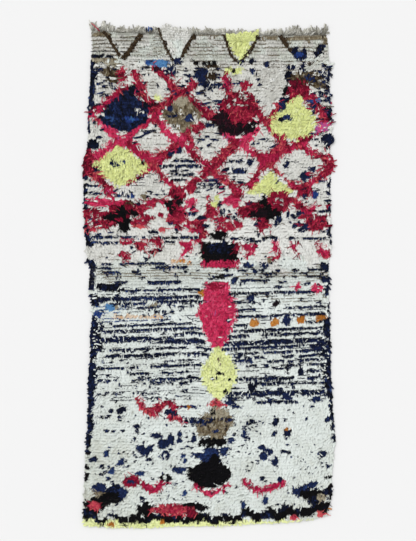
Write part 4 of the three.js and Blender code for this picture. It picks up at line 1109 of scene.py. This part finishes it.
def lockRoots(kind, rng, x, y, heading, tone, **own):
    # one root at each x and y in metres, with what its kind says and what is its own
    count = len(x)
    given = {"z": rug["groundTop"] + kind.get("lift", 0), **kind, **own}

    def drawn(key):
        value = given[key]
        if isinstance(value, tuple):
            *size, low, high = value
            value = rng.uniform(low, high, count) * (size[0] if size else 1)
        return value + np.zeros(count)

    roots = {"x": x, "y": y, "heading": heading}
    for key in ("z", "reach", "rise", "arch"):
        roots[key] = drawn(key)
    roots["bend"] = rng.normal(0, kind["bend"], count)
    roots["girth"] = drawn("girth")
    vary = rng.normal(*kind["spread"], count) if "spread" in kind else rng.uniform(*kind["shades"], count)
    roots["shade"] = np.clip(tone + vary, 0, lightest)
    return roots


def pick(roots, mask):
    return {key: value[mask] for key, value in roots.items()}


def rowHeights():
    # middle height, pitch, reach in pitches and arch of each row of knots, from the lower end up
    heights, y = [], lowerY + 0.006
    while y < upperY - 0.004:
        kind = [row[2:] for row in closeRows if row[0] < y * 100 < row[1]]
        heights.append((y, *(kind[0] if kind else (pile["rowPitch"], pile["overlap"], pile["arch"]))))
        y += heights[-1][1]
    return heights


def keepInside(roots, allow):
    # no lock goes further past the rug's sides and lower end than allow
    x, y, heading = roots["x"], roots["y"], roots["heading"]
    outward, down = np.cos(heading), np.maximum(-np.sin(heading), 0.05)
    toSide = np.where(outward > 0, rightEdge(y) - x, leftEdge(y) + x) + allow
    toEnd = y - between(lowerEnd, x) + allow + 0.003
    longest = np.minimum(toSide / np.maximum(np.abs(outward), 0.05), toEnd / down)
    roots["reach"] = np.minimum(roots["reach"], np.maximum(longest, 0.007))
    return roots


def pileRoots():
    rng = np.random.default_rng(pile["seed"])
    rows = []
    count = int(2 * rug["halfWidth"] / pile["lockPitch"])
    for y, pitch, overlap, arch in rowHeights():
        across = (np.arange(count) + 0.5 + rng.uniform(-0.35, 0.35, count)) / count
        waver = rowWaver(across * 113 - 56.5, np.full(count, y * 100)) / 100
        up = (y + waver - lowerY) / (upperY - lowerY) + rng.normal(0, 0.0006, count)
        x, height = place(np.clip(across, rimShare, 1 - rimShare), np.clip(up, 0.001, 0.999))
        rows.append((x, height, *(np.full(count, value) for value in (y, pitch, overlap, arch))))
    x, y, level, pitch, overlap, arch = (np.concatenate(part) for part in zip(*rows))
    pair = np.arange(len(x)) // 2 * 2  # both ends of a knot have one yarn
    # the row above covers a lock's root, so its colour shows nearer its tip
    out = pitch * np.maximum(overlap - 0.6, overlap / 2)
    lean = leanAt(x[pair] * 100, y[pair] * 100)
    for step in range(2):
        lean = np.clip(np.where(overlap < pile["tightUnder"], 0.3, 1) * lean, -1.2, 1.2)
        across, seen = x[pair] + out * np.sin(lean), y[pair] - out * np.cos(lean)
        yarn, shade, lean = readChart(across * 100, seen * 100, level * 100)
    colourful = np.where(isPlain(yarn), 0.05, np.where(yarn == yarns.index("rose"), 0.13, 0.19))
    shade = np.clip(shade + rng.normal(0, 1, len(x)) * colourful, 0, lightest)
    # the flat band's filled triangles have the long reach and low arch of the pile
    hit = (arch > 0.003) & inWedge(across * 100, seen * 100)
    overlap, arch = np.where(hit, 1.7, overlap), np.where(hit, 0.0015, arch)
    return {"x": x, "y": y, "level": level, "pitch": pitch, "overlap": overlap, "arch": arch,
            "yarn": yarn, "shade": shade, "lean": lean}


def layPile(roots):
    # gives each root its lock's heading, reach, rise, bend and girth
    rng = np.random.default_rng(pile["seed"] + 1)
    x, y, yarn, pitch = roots["x"], roots["y"], roots["yarn"], roots["pitch"]
    tight = roots["overlap"] < pile["tightUnder"]
    count = len(x)
    toRight, toLeft = rightEdge(y) - x, leftEdge(y) + x
    spread = np.exp(-np.maximum(toRight, 0) / 0.015) - np.exp(-np.maximum(toLeft, 0) / 0.015)
    loose, calm = np.where(isPlain(yarn), 1, 2), np.where(tight, 0.3, 1)
    chartX, chartY = x * 100, y * 100
    sway = 0.18 * cloud(chartX, chartY, 9, 41) + 0.22 * np.sqrt(loose) * cloud(chartX, chartY, 2.6, 42)
    turn = roots["lean"] + pile["sideLean"] * spread + sway + loose * rng.normal(0, 0.1, count)
    # the middle column is of loose curls
    curly = sum(size * (yarn == yarns.index(name)) for name, size in pile["curls"].items())
    curly = curly * (y < pile["curlsBelow"])
    turn += 0.8 * curly * cloud(chartX, chartY, 1.3, 48)
    roots["heading"] = -math.pi / 2 + calm * turn
    # tips of one row swell out in blobs of a few knots
    roots["blob"] = cloud(chartX, roots["level"] * 730, 1.9, 44)
    share = 1 + 0.16 * roots["blob"] * calm + rng.normal(0, 0.09, count)
    roots["reach"] = pitch * roots["overlap"] * np.clip(share, 0.6, 1.5)
    swell = pile["lumpRise"] * lump(x, y)
    roots["rise"] = np.where(tight, 0.45, 1) * pile["rise"] * rng.uniform(0.85, 1.12, count) + swell
    roots["rise"] *= 1 + 0.35 * curly * (0.5 + cloud(chartX, chartY, 1.1, 49))
    roots["bend"] = rng.normal(0, 0.004, count) + 0.004 * cloud(chartX, chartY, 3, 47)
    roots["bend"] += 0.006 * curly * cloud(chartX, chartY, 0.9, 50)
    roots["girth"] = pile["girth"] * rng.uniform(0.85, 1.2, count) * np.where(tight, 0.8, 1)
    roots["z"] = np.full(count, rug["groundTop"] - 0.0005)
    return keepInside(roots, rng.uniform(0.001, 0.009, count))


def navyRoots():
    # tufts in rows of their own between the pile's rows
    kind = kinds["navyRow"]
    rng = np.random.default_rng(kind["seed"])
    parts = []

    def addRow(level, fromX, toX, thickness, cover, dash, seed):
        # a thick row is two layers of tufts
        layers = 1 if thickness < 1.7 else 2
        for layer in range(layers):
            xs = np.arange(fromX, toX, kind["pitch"])
            xs = xs + rng.uniform(-0.15, 0.15, len(xs))
            row = np.full(len(xs), level + (layers - 1) * (0.25 - 0.75 * layer))
            gaps = cloud(xs, row * 9, dash, seed) + 0.35 * cloud(xs, row * 9, dash / 3, seed + 1)
            swell = 1 + 0.5 * cloud(xs, row * 9, 1.7, seed + 2)
            height = row + 0.22 * cloud(xs, row * 9, 2.6, seed + 3)
            kept = gaps < (2.4 * cover - (1.15 if level > 0 else 1.07) if cover < 0.98 else 9)
            parts.append(np.stack([xs, height, thickness * swell], 1)[kept])

    for number, (level, fromX, toX, thickness, cover) in enumerate(navyRows):
        addRow(level, fromX, toX, thickness, cover, 4.0, 500 + 4 * number)
    for y, pitch in [row[:2] for row in rowHeights()]:
        level = y * 100 + pitch * 50
        for number, (low, high, fromX, toX, cover, dash) in enumerate(dashes):
            if low < level < high:
                addRow(level, fromX, toX, 0.6, cover, dash, 900 + 4 * number)
    x, level, thickness = np.concatenate(parts).T
    y = level + rowDrift(x / 100, level / 100) * 100 + rowWaver(x, level) + rng.normal(0, 0.1, len(x))
    yarn = readChart(x, y - 0.4, level, seed=2)[0]
    rim = np.where(x > 0, rightEdge(y / 100), leftEdge(y / 100)) * 100
    clear = isPlain(yarn) & (np.abs(x) < rim - 0.6)
    x, y, thickness = x[clear], y[clear], thickness[clear]
    count = len(x)
    longer = np.where(rng.uniform(0, 1, count) < 0.12, 1.5, 1)
    heading = -math.pi / 2 + rng.normal(0, 0.24, count) + 0.3 * cloud(x, y, 3, 46)
    reach = (0.0072 + 0.0064 * thickness) * rng.uniform(0.75, 1.25, count) * longer
    tone = 0.36 + 0.2 * cloud(x, y, 9, 43)
    return lockRoots(kind, rng, x / 100, y / 100 + 0.003, heading, tone, reach=reach)


def wispRoots(navy):
    # thin navy strands that lie along the rows, over the pile
    kind = kinds["wisp"]
    rng = np.random.default_rng(kind["seed"])
    own = pick(navy, rng.uniform(0, 1, len(navy["x"])) < kind["share"])
    count = len(own["x"])
    y = own["y"] - rng.uniform(0.002, 0.011, count)
    heading = rng.choice([0, math.pi], count) + rng.normal(-0.05, 0.22, count)
    return lockRoots(kind, rng, own["x"], y, heading, 0)


# thin weft threads that show between rows; the dark taupe ones also stand in for the shade in the
# grooves between rows, as painted shade: from y, to y, from x, to x, cover, yarn, shade, width
weftsAndGrooveShade = [
    (100.8, 112.6, -55, 24, 0.66, "taupe", 0.4, 0.0033), (100.8, 112.6, 24, 55, 0.3, "taupe", 0.6, 0.003),
    (101, 104, -55, -30, 0.5, "navy", 0.2, 0.004), (93, 100, -54, 55, 0.5, "taupe", 0.3, 0.003),
    (58, 93, -54, 55, 0.34, "taupe", 0.34, 0.0028), (34, 58, -56, 55, 0.3, "navy", 0.2, 0.0028),
    (5, 34, -56, 55, 0.2, "taupe", 0.4, 0.0026), (-4.5, 5, -55, 55, 0.32, "taupe", 0.6, 0.0028),
    (-1.2, 1.4, -55, 55, 0.8, "taupe", 0.6, 0.003), (-4.5, 5, -52, 54, 0.22, "navy", 0.3, 0.003),
    (-22, -4.5, -52, 54, 0.4, "navy", 0.35, 0.003), (-60, -22, -52, 54, 0.42, "navy", 0.25, 0.0034),
    (-14, -8, 8, 55, 0.5, "taupe", 0.6, 0.003), (-22, -19.5, -50, -18, 0.8, "blue", 0.2, 0.0042),
    (-18, -14, -54, -40, 0.5, "blue", 0.4, 0.0035),
]


def weftRoots(name):
    # each thread runs along its row for a few cm, and then goes under the pile
    kind = kinds["weft"]
    rng = np.random.default_rng(kind["seed"])
    parts = []
    for y, pitch in [row[:2] for row in rowHeights()]:
        for number, (low, high, fromX, toX, cover, yarn, shade, width) in enumerate(weftsAndGrooveShade):
            level = y * 100 - 0.3 * pitch * 100
            if yarn != name or not low < level < high:
                continue
            xs = np.arange(fromX, toX, kind["pitch"]) + rng.uniform(-0.4, 0.4)
            kept = cloud(xs, np.full(len(xs), level * 9), 3.6, 840 + number) < 2.1 * cover - 1.05
            xs = xs[kept]
            wave = rowWaver(xs, np.full(len(xs), level))
            heights = level + wave + rng.normal(0, 0.05, len(xs))
            parts.append(np.stack([xs, heights, np.full(len(xs), shade), np.full(len(xs), width)], 1))
    x, level, shade, width = np.concatenate(parts).T
    y = level + rowDrift(x / 100, level / 100) * 100
    clear = isPlain(readChart(x, y, level, seed=6)[0]) & ~inWedge(x, y)
    x, y, shade, width = x[clear], y[clear], shade[clear], width[clear]
    heading = rng.normal(0, 0.12, len(x))
    return lockRoots(kind, rng, x / 100, y / 100, heading, shade, girth=(width, 0.7, 1.3))


def strayRoots(roots, name, share):
    # fine strands that have worked loose and lie over their neighbours
    kind = kinds["stray"]
    rng = np.random.default_rng(kind["seed"])
    own = pick(roots, (roots["yarn"] == yarns.index(name)) & (roots["overlap"] > 1.5))
    own = pick(own, rng.uniform(0, 1, len(own["x"])) < share)
    count = len(own["x"])
    middle = 0.4 * own["reach"]
    x = own["x"] + middle * np.cos(own["heading"])
    y = own["y"] + middle * np.sin(own["heading"])
    made = lockRoots(kind, rng, x, y, own["heading"] + rng.normal(0, 0.75, count), own["shade"])
    return keepInside(made, rng.uniform(0.004, 0.012, count))


def tuftRoots(name):
    # small marks are tufts of their own that stand a little proud of the pile
    kind = kinds["tuft"]
    rng = np.random.default_rng(kind["seed"])
    parts = []
    for shape, atX, atY, halfX, halfY, yarn, tone in marks:
        if yarn != name or not isSmall(shape, halfX, halfY):
            continue
        wide, tall = halfX + 0.8, halfY + 0.6
        columns, rows = np.arange(-wide, wide, kind["pitch"]), np.arange(-tall, tall, kind["rows"])
        across, along = np.meshgrid(columns, rows)
        across = across.ravel() + rng.uniform(-0.15, 0.15, across.size)
        along = along.ravel() + rng.uniform(-0.2, 0.2, along.size)
        pullX, pullY = tatter(atX + across, atY + along)
        loose = min(halfX + halfY, 3) / 3
        kept = inside("oval", (across + loose * pullX) / halfX, (along + loose * pullY) / halfY)
        parts.append(np.stack([atX + across, atY + along, np.full(across.size, tone)], 1)[kept])
    if not parts:
        return None
    x, y, tone = np.concatenate(parts).T
    yarn, lean = readChart(x, y, y, seed=9)[::2]
    own = yarn == yarns.index(name)
    x, y, tone, lean = x[own], y[own], tone[own], lean[own]
    count = len(x)
    turn = 0.9 * lean + 0.5 * cloud(x, y, 2.2, 93) + rng.normal(0, 0.2, count)
    reach = rng.uniform(0.007, 0.021, count)
    x, y = x / 100 - 0.5 * reach * np.sin(turn), y / 100 + 0.5 * reach * np.cos(turn)
    return lockRoots(kind, rng, x, y, turn - math.pi / 2, tone, reach=reach)


# where a filled triangle goes on into the warp ends: yarn, shade, from x, to x, its lowest y, and
# how high it ends on the left and on the right
wedgeTops = [
    ("cream", 0.6, -22, -8.2, 109, 115.6, 114.8), ("cream", 0.55, -20.4, -18, 112, 117.4, 116.6),
    ("yellow", 0.5, 8.4, 22.2, 108.6, 112.4, 113.4), ("yellow", 0.5, 20.6, 23, 111, 113.6, 114.4),
]


def topRoots(name):
    # the filled triangles of the flat band run on upright into the warp ends
    kind = kinds["top"]
    rng = np.random.default_rng(kind["seed"])
    parts = []
    for yarn, tone, fromX, toX, low, left, right in wedgeTops:
        for row in range(5 if yarn == name else 0):
            xs = np.arange(fromX, toX, kind["pitch"])
            xs = xs + rng.uniform(-0.2, 0.2, len(xs))
            top = left + (right - left) * (xs - fromX) / (toX - fromX) + 0.4 * cloud(xs, xs * 0, 1.6, 91)
            base = low + (top - 1.7 - low) * row / 4 + rng.uniform(-0.15, 0.15, len(xs))
            parts.append(np.stack([xs, base, np.full(len(xs), tone)], 1))
    if not parts:
        return None
    x, y, tone = np.concatenate(parts).T
    heading = math.pi / 2 + 0.3 * cloud(x, y, 3, 92) + rng.normal(0, 0.12, len(x))
    return lockRoots(kind, rng, x / 100, y / 100, heading, tone)


def strandRoots(name):
    # the flecks and streaks, laid over the pile on their way across or down it
    kind = kinds["strand"]
    rng = np.random.default_rng(kind["seed"])
    own = [row[:3] + row[4:] for row in strands if row[3] == name]
    if not own:
        return None
    x, y, half, tone = np.array(own).T
    yarn, lean = readChart(x, y, y, seed=10)[::2]
    under = ("black", "yellow", "navy") if name == "cream" else ("black", "yellow")
    clear = ~np.isin(yarn, [yarns.index(other) for other in under])
    x, y, half, tone, lean = x[clear], y[clear], half[clear], tone[clear], lean[clear]
    count = len(x)
    # most lie across, and some down the pile's own way
    flat = rng.uniform(0, 1, count) < 0.75
    level, steep = math.pi + rng.normal(0.12, 0.2, count), lean - math.pi / 2 + rng.normal(0, 0.3, count)
    slope = np.where(flat, level, steep)
    reach = 2 * half / 100 * np.where(flat, 1, 0.6)
    x, y = x / 100 - 0.5 * reach * np.cos(slope), y / 100 - 0.5 * reach * np.sin(slope)
    made = lockRoots(kind, rng, x, y, slope, tone, reach=reach)
    made["girth"] = made["girth"] * np.where(half < 0.7, 0.7, 1)
    return keepInside(made, rng.uniform(0.002, 0.008, count))


def outlineRoots():
    # the thin dark lines of the flat band: strands of yarn laid end to end and side by side
    kind = kinds["outline"]
    rng = np.random.default_rng(kind["seed"])
    parts = []
    lines = [(width, points) for name, tone, width, points in arms if name == "taupe" and width <= 2.3]
    for width, points in lines:
        for (ax, ay), (bx, by) in zip(points, points[1:]):
            length = math.hypot(bx - ax, by - ay)
            count = int(length / kind["pitch"])
            for beside in np.arange(0.35 - width / 2, width / 2 - 0.3, kind["beside"]):
                share = (np.arange(count) + rng.uniform(0, 1)) / count
                heading = np.full(len(share), math.atan2(by - ay, bx - ax))
                x = ax + (bx - ax) * share - (by - ay) / length * beside
                parts.append(np.stack([x, ay + (by - ay) * share + (bx - ax) / length * beside, heading], 1))
    x, y, heading = np.concatenate(parts).T
    count = len(x)
    x, y = x / 100 + rng.normal(0, 0.0012, count), y / 100 + rng.normal(0, 0.0012, count)
    return lockRoots(kind, rng, x, y, heading + rng.normal(0, 0.25, count), 0)


def trimAbove(roots, navy):
    # ivory locks end where a navy row begins, so that it shows between them
    cell, edgeX, edgeY, cellsDown = 0.005, 0.65, 1.25, 8
    taken = np.zeros((int(2 * edgeY / cell), int(2 * edgeX / cell)), bool)

    def cellOf(points):
        return ((points["y"] + edgeY) / cell).astype(int), ((points["x"] + edgeX) / cell).astype(int)

    taken[cellOf(navy)] = True
    limit = np.full(len(roots["x"]), 1.0)
    row, column = cellOf(roots)
    for step in reversed(range(cellsDown)):
        hit = taken[np.clip(row - step, 0, len(taken) - 1), column]
        limit[hit] = step * cell
    rng = np.random.default_rng(5)
    cut = np.maximum(limit + rng.uniform(0, 0.004, len(limit)) + 0.003 * roots["blob"], 0.006)
    shorter = isPlain(roots["yarn"]) & (cut < roots["reach"])
    roots["reach"] = np.where(shorter, cut, roots["reach"])
    return roots


roots = layPile(pileRoots())
navyRow = navyRoots()
roots = trimAbove(roots, navyRow)
print("pile rooted")

# the white wools are split by height in metres, and how much of each wool has worked loose
whiteParts = {"ivory": {"_lower": (-2, -0.46), "_middle": (-0.46, 2)},
              "cream": {"_middle": (-2, 0.55), "_upper": (0.55, 2)}}
strays = {"crimson": 0.45, "rose": 0.3, "yellow": 0.2, "black": 0.2, "ivory": 0.04, "cream": 0.06,
          "taupe": 0.2}

for number, name in enumerate(yarns):
    for part, (low, high) in whiteParts.get(name, {"": (-2, 2)}).items():
        mask = (roots["yarn"] == number) & (roots["y"] > low) & (roots["y"] <= high)
        growLocks(name + "_pile" + part, pick(roots, mask), name, pileLook)
growLocks("navy_rows", navyRow, "navy", rowLook)
# the taupe weft threads also darken the grooves between rows, as painted shade
for name in ("navy", "taupe", "blue"):
    growLocks(name + "_wefts", weftRoots(name), name, rowLook)
growLocks("navy_wisps", wispRoots(navyRow), "navy", {**rowLook, "Points": 6})
for name, share in strays.items():
    growLocks("stray_" + name, strayRoots(roots, name, share), name, rowLook)
growLocks("band_outlines", outlineRoots(), "taupe", rowLook)
for name in yarns:
    for title, found, points in (("tufts_", tuftRoots(name), 4), ("strands_", strandRoots(name), 5),
                                 ("tops_", topRoots(name), 5)):
        if found:
            growLocks(title + name, found, name, {**rowLook, "Points": points})
print("pile grown")


# ground weave, with the knots' backs showing their colours underneath

ground = {"columns": 76, "lines": 190, "ribRise": 0.0006, "inset": 0.004, "warp": "#A9A698"}


def groundMesh():
    columns, lines = ground["columns"], ground["lines"]
    across, up = np.meshgrid(np.linspace(0, 1, columns + 1), np.linspace(0, 1, lines + 1))
    x, y = place(across, up)
    x = x - np.sign(x) * ground["inset"] * (np.abs(across - 0.5) * 2) ** 8
    wave = np.cos(np.arange(lines + 1) * math.pi)[:, None] * np.ones(x.shape)
    top = np.stack([x, y, rug["groundTop"] - ground["ribRise"] + ground["ribRise"] * wave], 2)
    low = np.stack([x, y, floorGap - floorGap * wave], 2)
    count = x.size
    places = np.concatenate([top.reshape(-1, 3), low.reshape(-1, 3)])
    index = np.arange(count).reshape(x.shape)
    a, b, c, d = index[:-1, :-1], index[:-1, 1:], index[1:, 1:], index[1:, :-1]
    topFaces = np.stack([a, b, c, d], 2).reshape(-1, 4)
    lowFaces = topFaces[:, ::-1] + count
    loop = np.concatenate([index[0, :-1], index[:-1, -1], index[-1, :0:-1], index[:0:-1, 0]])
    ahead = np.roll(loop, -1)
    sideFaces = np.stack([loop + count, ahead + count, ahead, loop], 1)
    mesh = bpy.data.meshes.new("rug_ground")
    mesh.from_pydata(places.tolist(), [], np.concatenate([topFaces, lowFaces, sideFaces]).tolist())
    level = lowerY + (upperY - lowerY) * up
    yarn, shade = readChart(x.ravel() * 100, y.ravel() * 100, level.ravel() * 100, seed=3)[:2]
    colours = np.zeros((count, 4), np.float32)
    for number, name in enumerate(yarns):
        heights, tones = zip(*woolRamps[name][1])
        table = np.array([linear(tone) for tone in tones])
        mask = yarn == number
        for channel in range(4):
            colours[mask, channel] = np.interp(shade[mask], heights, table[:, channel])
    topColours = colours * 0.7 + np.array(linear(ground["warp"])) * 0.12
    topColours[:, 3] = 1
    layer = mesh.color_attributes.new("knotColour", "FLOAT_COLOR", "POINT")
    layer.data.foreach_set("color", np.concatenate([topColours, colours]).astype(np.float32).ravel())
    # the top fills the left half of the map, and the underside the right half
    u, v = across.ravel(), up.ravel()
    spots = np.concatenate([np.stack([start + 0.48 * u, 0.01 + 0.98 * v], 1) for start in (0.01, 0.51)])
    mapped = mesh.uv_layers.new(name="OFBake")
    corners = np.empty(len(mesh.loops), np.int32)
    mesh.loops.foreach_get("vertex_index", corners)
    mapped.uv.foreach_set("vector", spots[corners].astype(np.float32).ravel())
    for polygon in mesh.polygons:
        polygon.use_smooth = True
    return mesh


def groundMaterial():
    # plain weave of wool on wool: rows of knot backs 10 mm apart, and weft between them
    material, tree, surface = newMaterial("plain weave wool ground", {
        "Roughness": 0.92, "Specular IOR Level": 0.2, "Sheen Weight": 0.1,
    })
    colour = addNode(tree, "ShaderNodeAttribute", attribute_name="knotColour")
    where = addNode(tree, "ShaderNodeTexCoord").outputs["Object"]
    weft = addNode(tree, "ShaderNodeTexWave", {"Vector": where, "Scale": 16.0, "Distortion": 1.2,
                                               "Detail": 2.0, "Detail Scale": 3.0},
                   wave_type="BANDS", bands_direction="Y")
    warps = addNode(tree, "ShaderNodeTexWave", {"Vector": where, "Scale": 32.0, "Distortion": 0.6,
                                                "Detail": 1.0},
                    wave_type="BANDS", bands_direction="X")
    crossings = {0: weft.outputs["Fac"], 1: warps.outputs["Fac"]}
    weave = addNode(tree, "ShaderNodeMath", crossings, operation="MULTIPLY")
    # painted shade: the weave's colour darkens between its threads, where they shade each other
    shade = addNode(tree, "ShaderNodeMapRange", {0: weave, 1: 0.0, 2: 0.5, 3: 0.7, 4: 1.0})
    tint = addNode(tree, "ShaderNodeVectorMath", {0: colour, "Scale": shade}, operation="SCALE")
    bump = addNode(tree, "ShaderNodeBump", {"Strength": 0.8, "Distance": 0.0015, "Height": weave})
    tree.links.new(tint.outputs[0], surface["Base Color"])
    tree.links.new(bump.outputs[0], surface["Normal"])
    return material


weave = bpy.data.objects.new("rug_ground", groundMesh())
weave.data.materials.append(groundMaterial())
bpy.context.scene.collection.objects.link(weave)
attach(weave, "root")
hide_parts("rug_body")
print("ground woven")


# selvedges: weft turned round the outer warps

def selvedgeRoots():
    kind = kinds["selvedge"]
    rng = np.random.default_rng(kind["seed"])
    up = np.arange(0.004, 0.998, kind["pitch"] / 2.3)
    sides = []
    for share, way in ((rimShare, math.pi), (1 - rimShare, 0.0)):
        x, y = place(np.full(len(up), share), up)
        sides.append((x, y, np.full(len(up), way), lowerY + (upperY - lowerY) * up))
    x, y, heading, level = (np.concatenate(part) for part in zip(*sides))
    count = len(x)
    yarn, shade = readChart(x * 100 * 0.985, y * 100, level * 100, seed=4)[:2]
    z = rng.uniform(0.006, 0.0085, count)
    heading = heading + np.sign(np.cos(heading)) * rng.normal(-0.45, 0.3, count)
    return {**lockRoots(kind, rng, x, y, heading, shade, z=z), "yarn": yarn}


rims = selvedgeRoots()
for name in ("ivory", "navy", "crimson", "black", "taupe"):
    # the colours that have no selvedge of their own are ivory there
    own = (name, "rose", "yellow", "blue", "orange", "cream") if name == "ivory" else (name,)
    mask = np.isin(rims["yarn"], [yarns.index(other) for other in own])
    growLocks("selvedge_" + name, pick(rims, mask), name, {**pileLook, "Points": 4})


# single ends of yarn at the rim: yarn, shade, x and y in cm, which way in degrees, reach, girth
looseEnds = [
    ("crimson", 0.7, -51.4, 113.6, 132, 0.052, 0.0042), ("crimson", 0.6, -51, 113.2, 125, 0.03, 0.004),
    ("navy", 0.4, -29, 113, 96, 0.024, 0.0075), ("navy", 0.5, -27.2, 113, 70, 0.022, 0.0075),
    ("blue", 0.3, -28.2, 113.2, 84, 0.024, 0.006), ("blue", 0.2, -26.8, 113.4, 110, 0.02, 0.006),
    ("ivory", 0.6, 54.6, 97.2, 15, 0.045, 0.008), ("ivory", 0.7, 54, 96, 5, 0.045, 0.008),
    ("ivory", 0.5, 44.6, 94.4, 36, 0.115, 0.009), ("ivory", 0.4, 45.4, 95.6, 32, 0.105, 0.008),
    ("ivory", 0.6, 46.6, 97, 38, 0.09, 0.009), ("ivory", 0.5, 48.4, 95.6, 28, 0.08, 0.009),
    ("ivory", 0.6, 47.6, 98.6, 36, 0.08, 0.008), ("ivory", 0.4, 43.6, 95.4, 30, 0.08, 0.009),
    ("ivory", 0.5, 50, 97.8, 24, 0.06, 0.009), ("ivory", 0.6, 49.6, 96.6, 34, 0.07, 0.008),
    ("taupe", 0.3, 53, 78.6, -8, 0.055, 0.0035), ("taupe", 0.3, 54, 77, 14, 0.045, 0.0035),
    ("ivory", 0.6, 55, 70, 35, 0.035, 0.006), ("ivory", 0.5, 55.4, 67, 20, 0.03, 0.006),
    ("crimson", 0.5, 55.4, 52, 12, 0.045, 0.007), ("crimson", 0.5, 55.4, 50.4, 0, 0.046, 0.008),
    ("crimson", 0.5, 55, 48.6, -15, 0.04, 0.007), ("crimson", 0.55, -55.6, 50.6, 178, 0.042, 0.008),
    ("crimson", 0.5, -55.4, 52.4, 165, 0.036, 0.007), ("crimson", 0.5, -55, 48.4, 195, 0.034, 0.007),
    ("crimson", 0.4, -54, 75.4, 174, 0.044, 0.006), ("orange", 0.3, -45.8, -116.6, -80, 0.024, 0.008),
    ("orange", 0.3, -44.8, -116.6, -100, 0.022, 0.008), ("orange", 0.4, 55.6, -109.4, -20, 0.02, 0.007),
]


def looseRoots(name):
    own = [row[1:] for row in looseEnds if row[0] == name]
    shade, x, y, turn, reach, girth = np.array(own).T
    level = np.zeros(len(own))
    return {
        "x": x / 100, "y": y / 100, "z": level + 0.0105, "heading": np.radians(turn), "reach": reach,
        "rise": level - 0.004, "arch": level + 0.003, "bend": level + 0.003, "girth": girth, "shade": shade,
    }


for name in ("ivory", "navy", "crimson", "blue", "taupe", "orange"):
    growLocks("loose_" + name, looseRoots(name), name, {**pileLook, "Points": 7})


# warp ends at the upper end, knotted and frayed

endLook = {"Points": 8, "Thickness": 0.6, "Wander": 0.014, "Tip": -0.3, "Droop": 0.0, "Floor": 0.0022}
fringeReach = [
    (-0.56, 0.03), (-0.49, 0.033), (-0.43, 0.022), (-0.21, 0.02), (0.01, 0.018), (0.18, 0.014),
    (0.28, 0.017), (0.38, 0.029), (0.49, 0.03), (0.56, 0.038),
]


def fringeRoots():
    kind = kinds["warpEnd"]
    rng = np.random.default_rng(kind["seed"])
    bundles = kind["bundles"]
    bundle = np.repeat(np.arange(bundles), kind["yarnsEach"])
    count = len(bundle)
    across = (bundle + 0.5 + rng.normal(0, 0.28, count)) / bundles
    x, y = place(np.clip(across, rimShare, 1 - rimShare), np.full(count, 0.9995))
    # the ends are matted into peaks about 8 cm apart, and lean to them from both sides
    phase = 2 * math.pi * x / kind["peakPitch"] + 1.6 * cloud(x * 100, x * 0, 9, 74)
    swirl = 0.7 * np.sin(phase) + 0.4 * cloud(x * 100, x * 0, 2.4, 72) + rng.normal(0, 0.3, count)
    y = y - 0.006 + rng.uniform(-0.002, 0.002, count)
    z = rng.uniform(0.003, 0.0065, count)
    reach = (between(fringeReach, x) + 0.013) * (0.9 + 0.14 * np.cos(phase)) * rng.uniform(0.6, 1.12, count)
    tone = 0.55 + 0.15 * cloud(x * 100, x * 0, 6, 73)
    return lockRoots(kind, rng, x, y, math.pi / 2 + swirl, tone, z=z, reach=reach)


fringe = growLocks("warp_ends", fringeRoots(), "warp", endLook)
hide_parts("warp_fringe")

print("rug finished")


# floor, light and camera

stage = {
    "floor": "#E6E6E6", "floorSize": 30.0, "sky": 0.74, "sun": 1.5, "sunSpread": 45.0,
    "sunTilt": (24.0, -20.0),
}
# straight above. The photo's 541 pixels show 2.526 m, so its frame sets the height
view = {
    "lens": 100.0, "sensor": 36.0, "frameHeight": 541 * 0.00467, "x": -0.0045, "y": 0.016, "rugTop": 0.008,
}


def buildStage():
    half = stage["floorSize"] / 2
    mesh = bpy.data.meshes.new("floor")
    corners = [(-half, -half, 0), (half, -half, 0), (half, half, 0), (-half, half, 0)]
    mesh.from_pydata(corners, [], [(0, 1, 2, 3)])
    floor = bpy.data.objects.new("floor", mesh)
    bpy.context.scene.collection.objects.link(floor)
    # a plain pale floor, matt so that the rug's shadow on it is soft
    look = {"Base Color": linear(stage["floor"]), "Roughness": 0.9}
    mesh.materials.append(newMaterial("matt white studio floor", look)[0])
    world = bpy.data.worlds.new("studio")
    world.use_nodes = True
    sky = world.node_tree.nodes["Background"].inputs
    sky["Color"].default_value = (1, 1, 1, 1)
    sky["Strength"].default_value = stage["sky"]
    bpy.context.scene.world = world
    lamp = bpy.data.lights.new("soft window", "SUN")
    lamp.energy = stage["sun"]
    lamp.angle = math.radians(stage["sunSpread"])
    sun = bpy.data.objects.new("soft window", lamp)
    tiltX, tiltY = (math.radians(value) for value in stage["sunTilt"])
    sun.rotation_euler = (-tiltX, tiltY, 0)
    bpy.context.scene.collection.objects.link(sun)


def buildCamera():
    data = bpy.data.cameras.new("camera")
    data.lens, data.sensor_width, data.sensor_fit = view["lens"], view["sensor"], "AUTO"
    data.clip_start, data.clip_end = 0.1, 100
    camera = bpy.data.objects.new("camera", data)
    height = view["frameHeight"] * view["lens"] / view["sensor"] + view["rugTop"]
    camera.location = (view["x"], view["y"], height)
    bpy.context.scene.collection.objects.link(camera)
    bpy.context.scene.camera = camera


buildStage()
buildCamera()
bpy.context.scene.view_settings.view_transform = "Standard"
print("stage set")
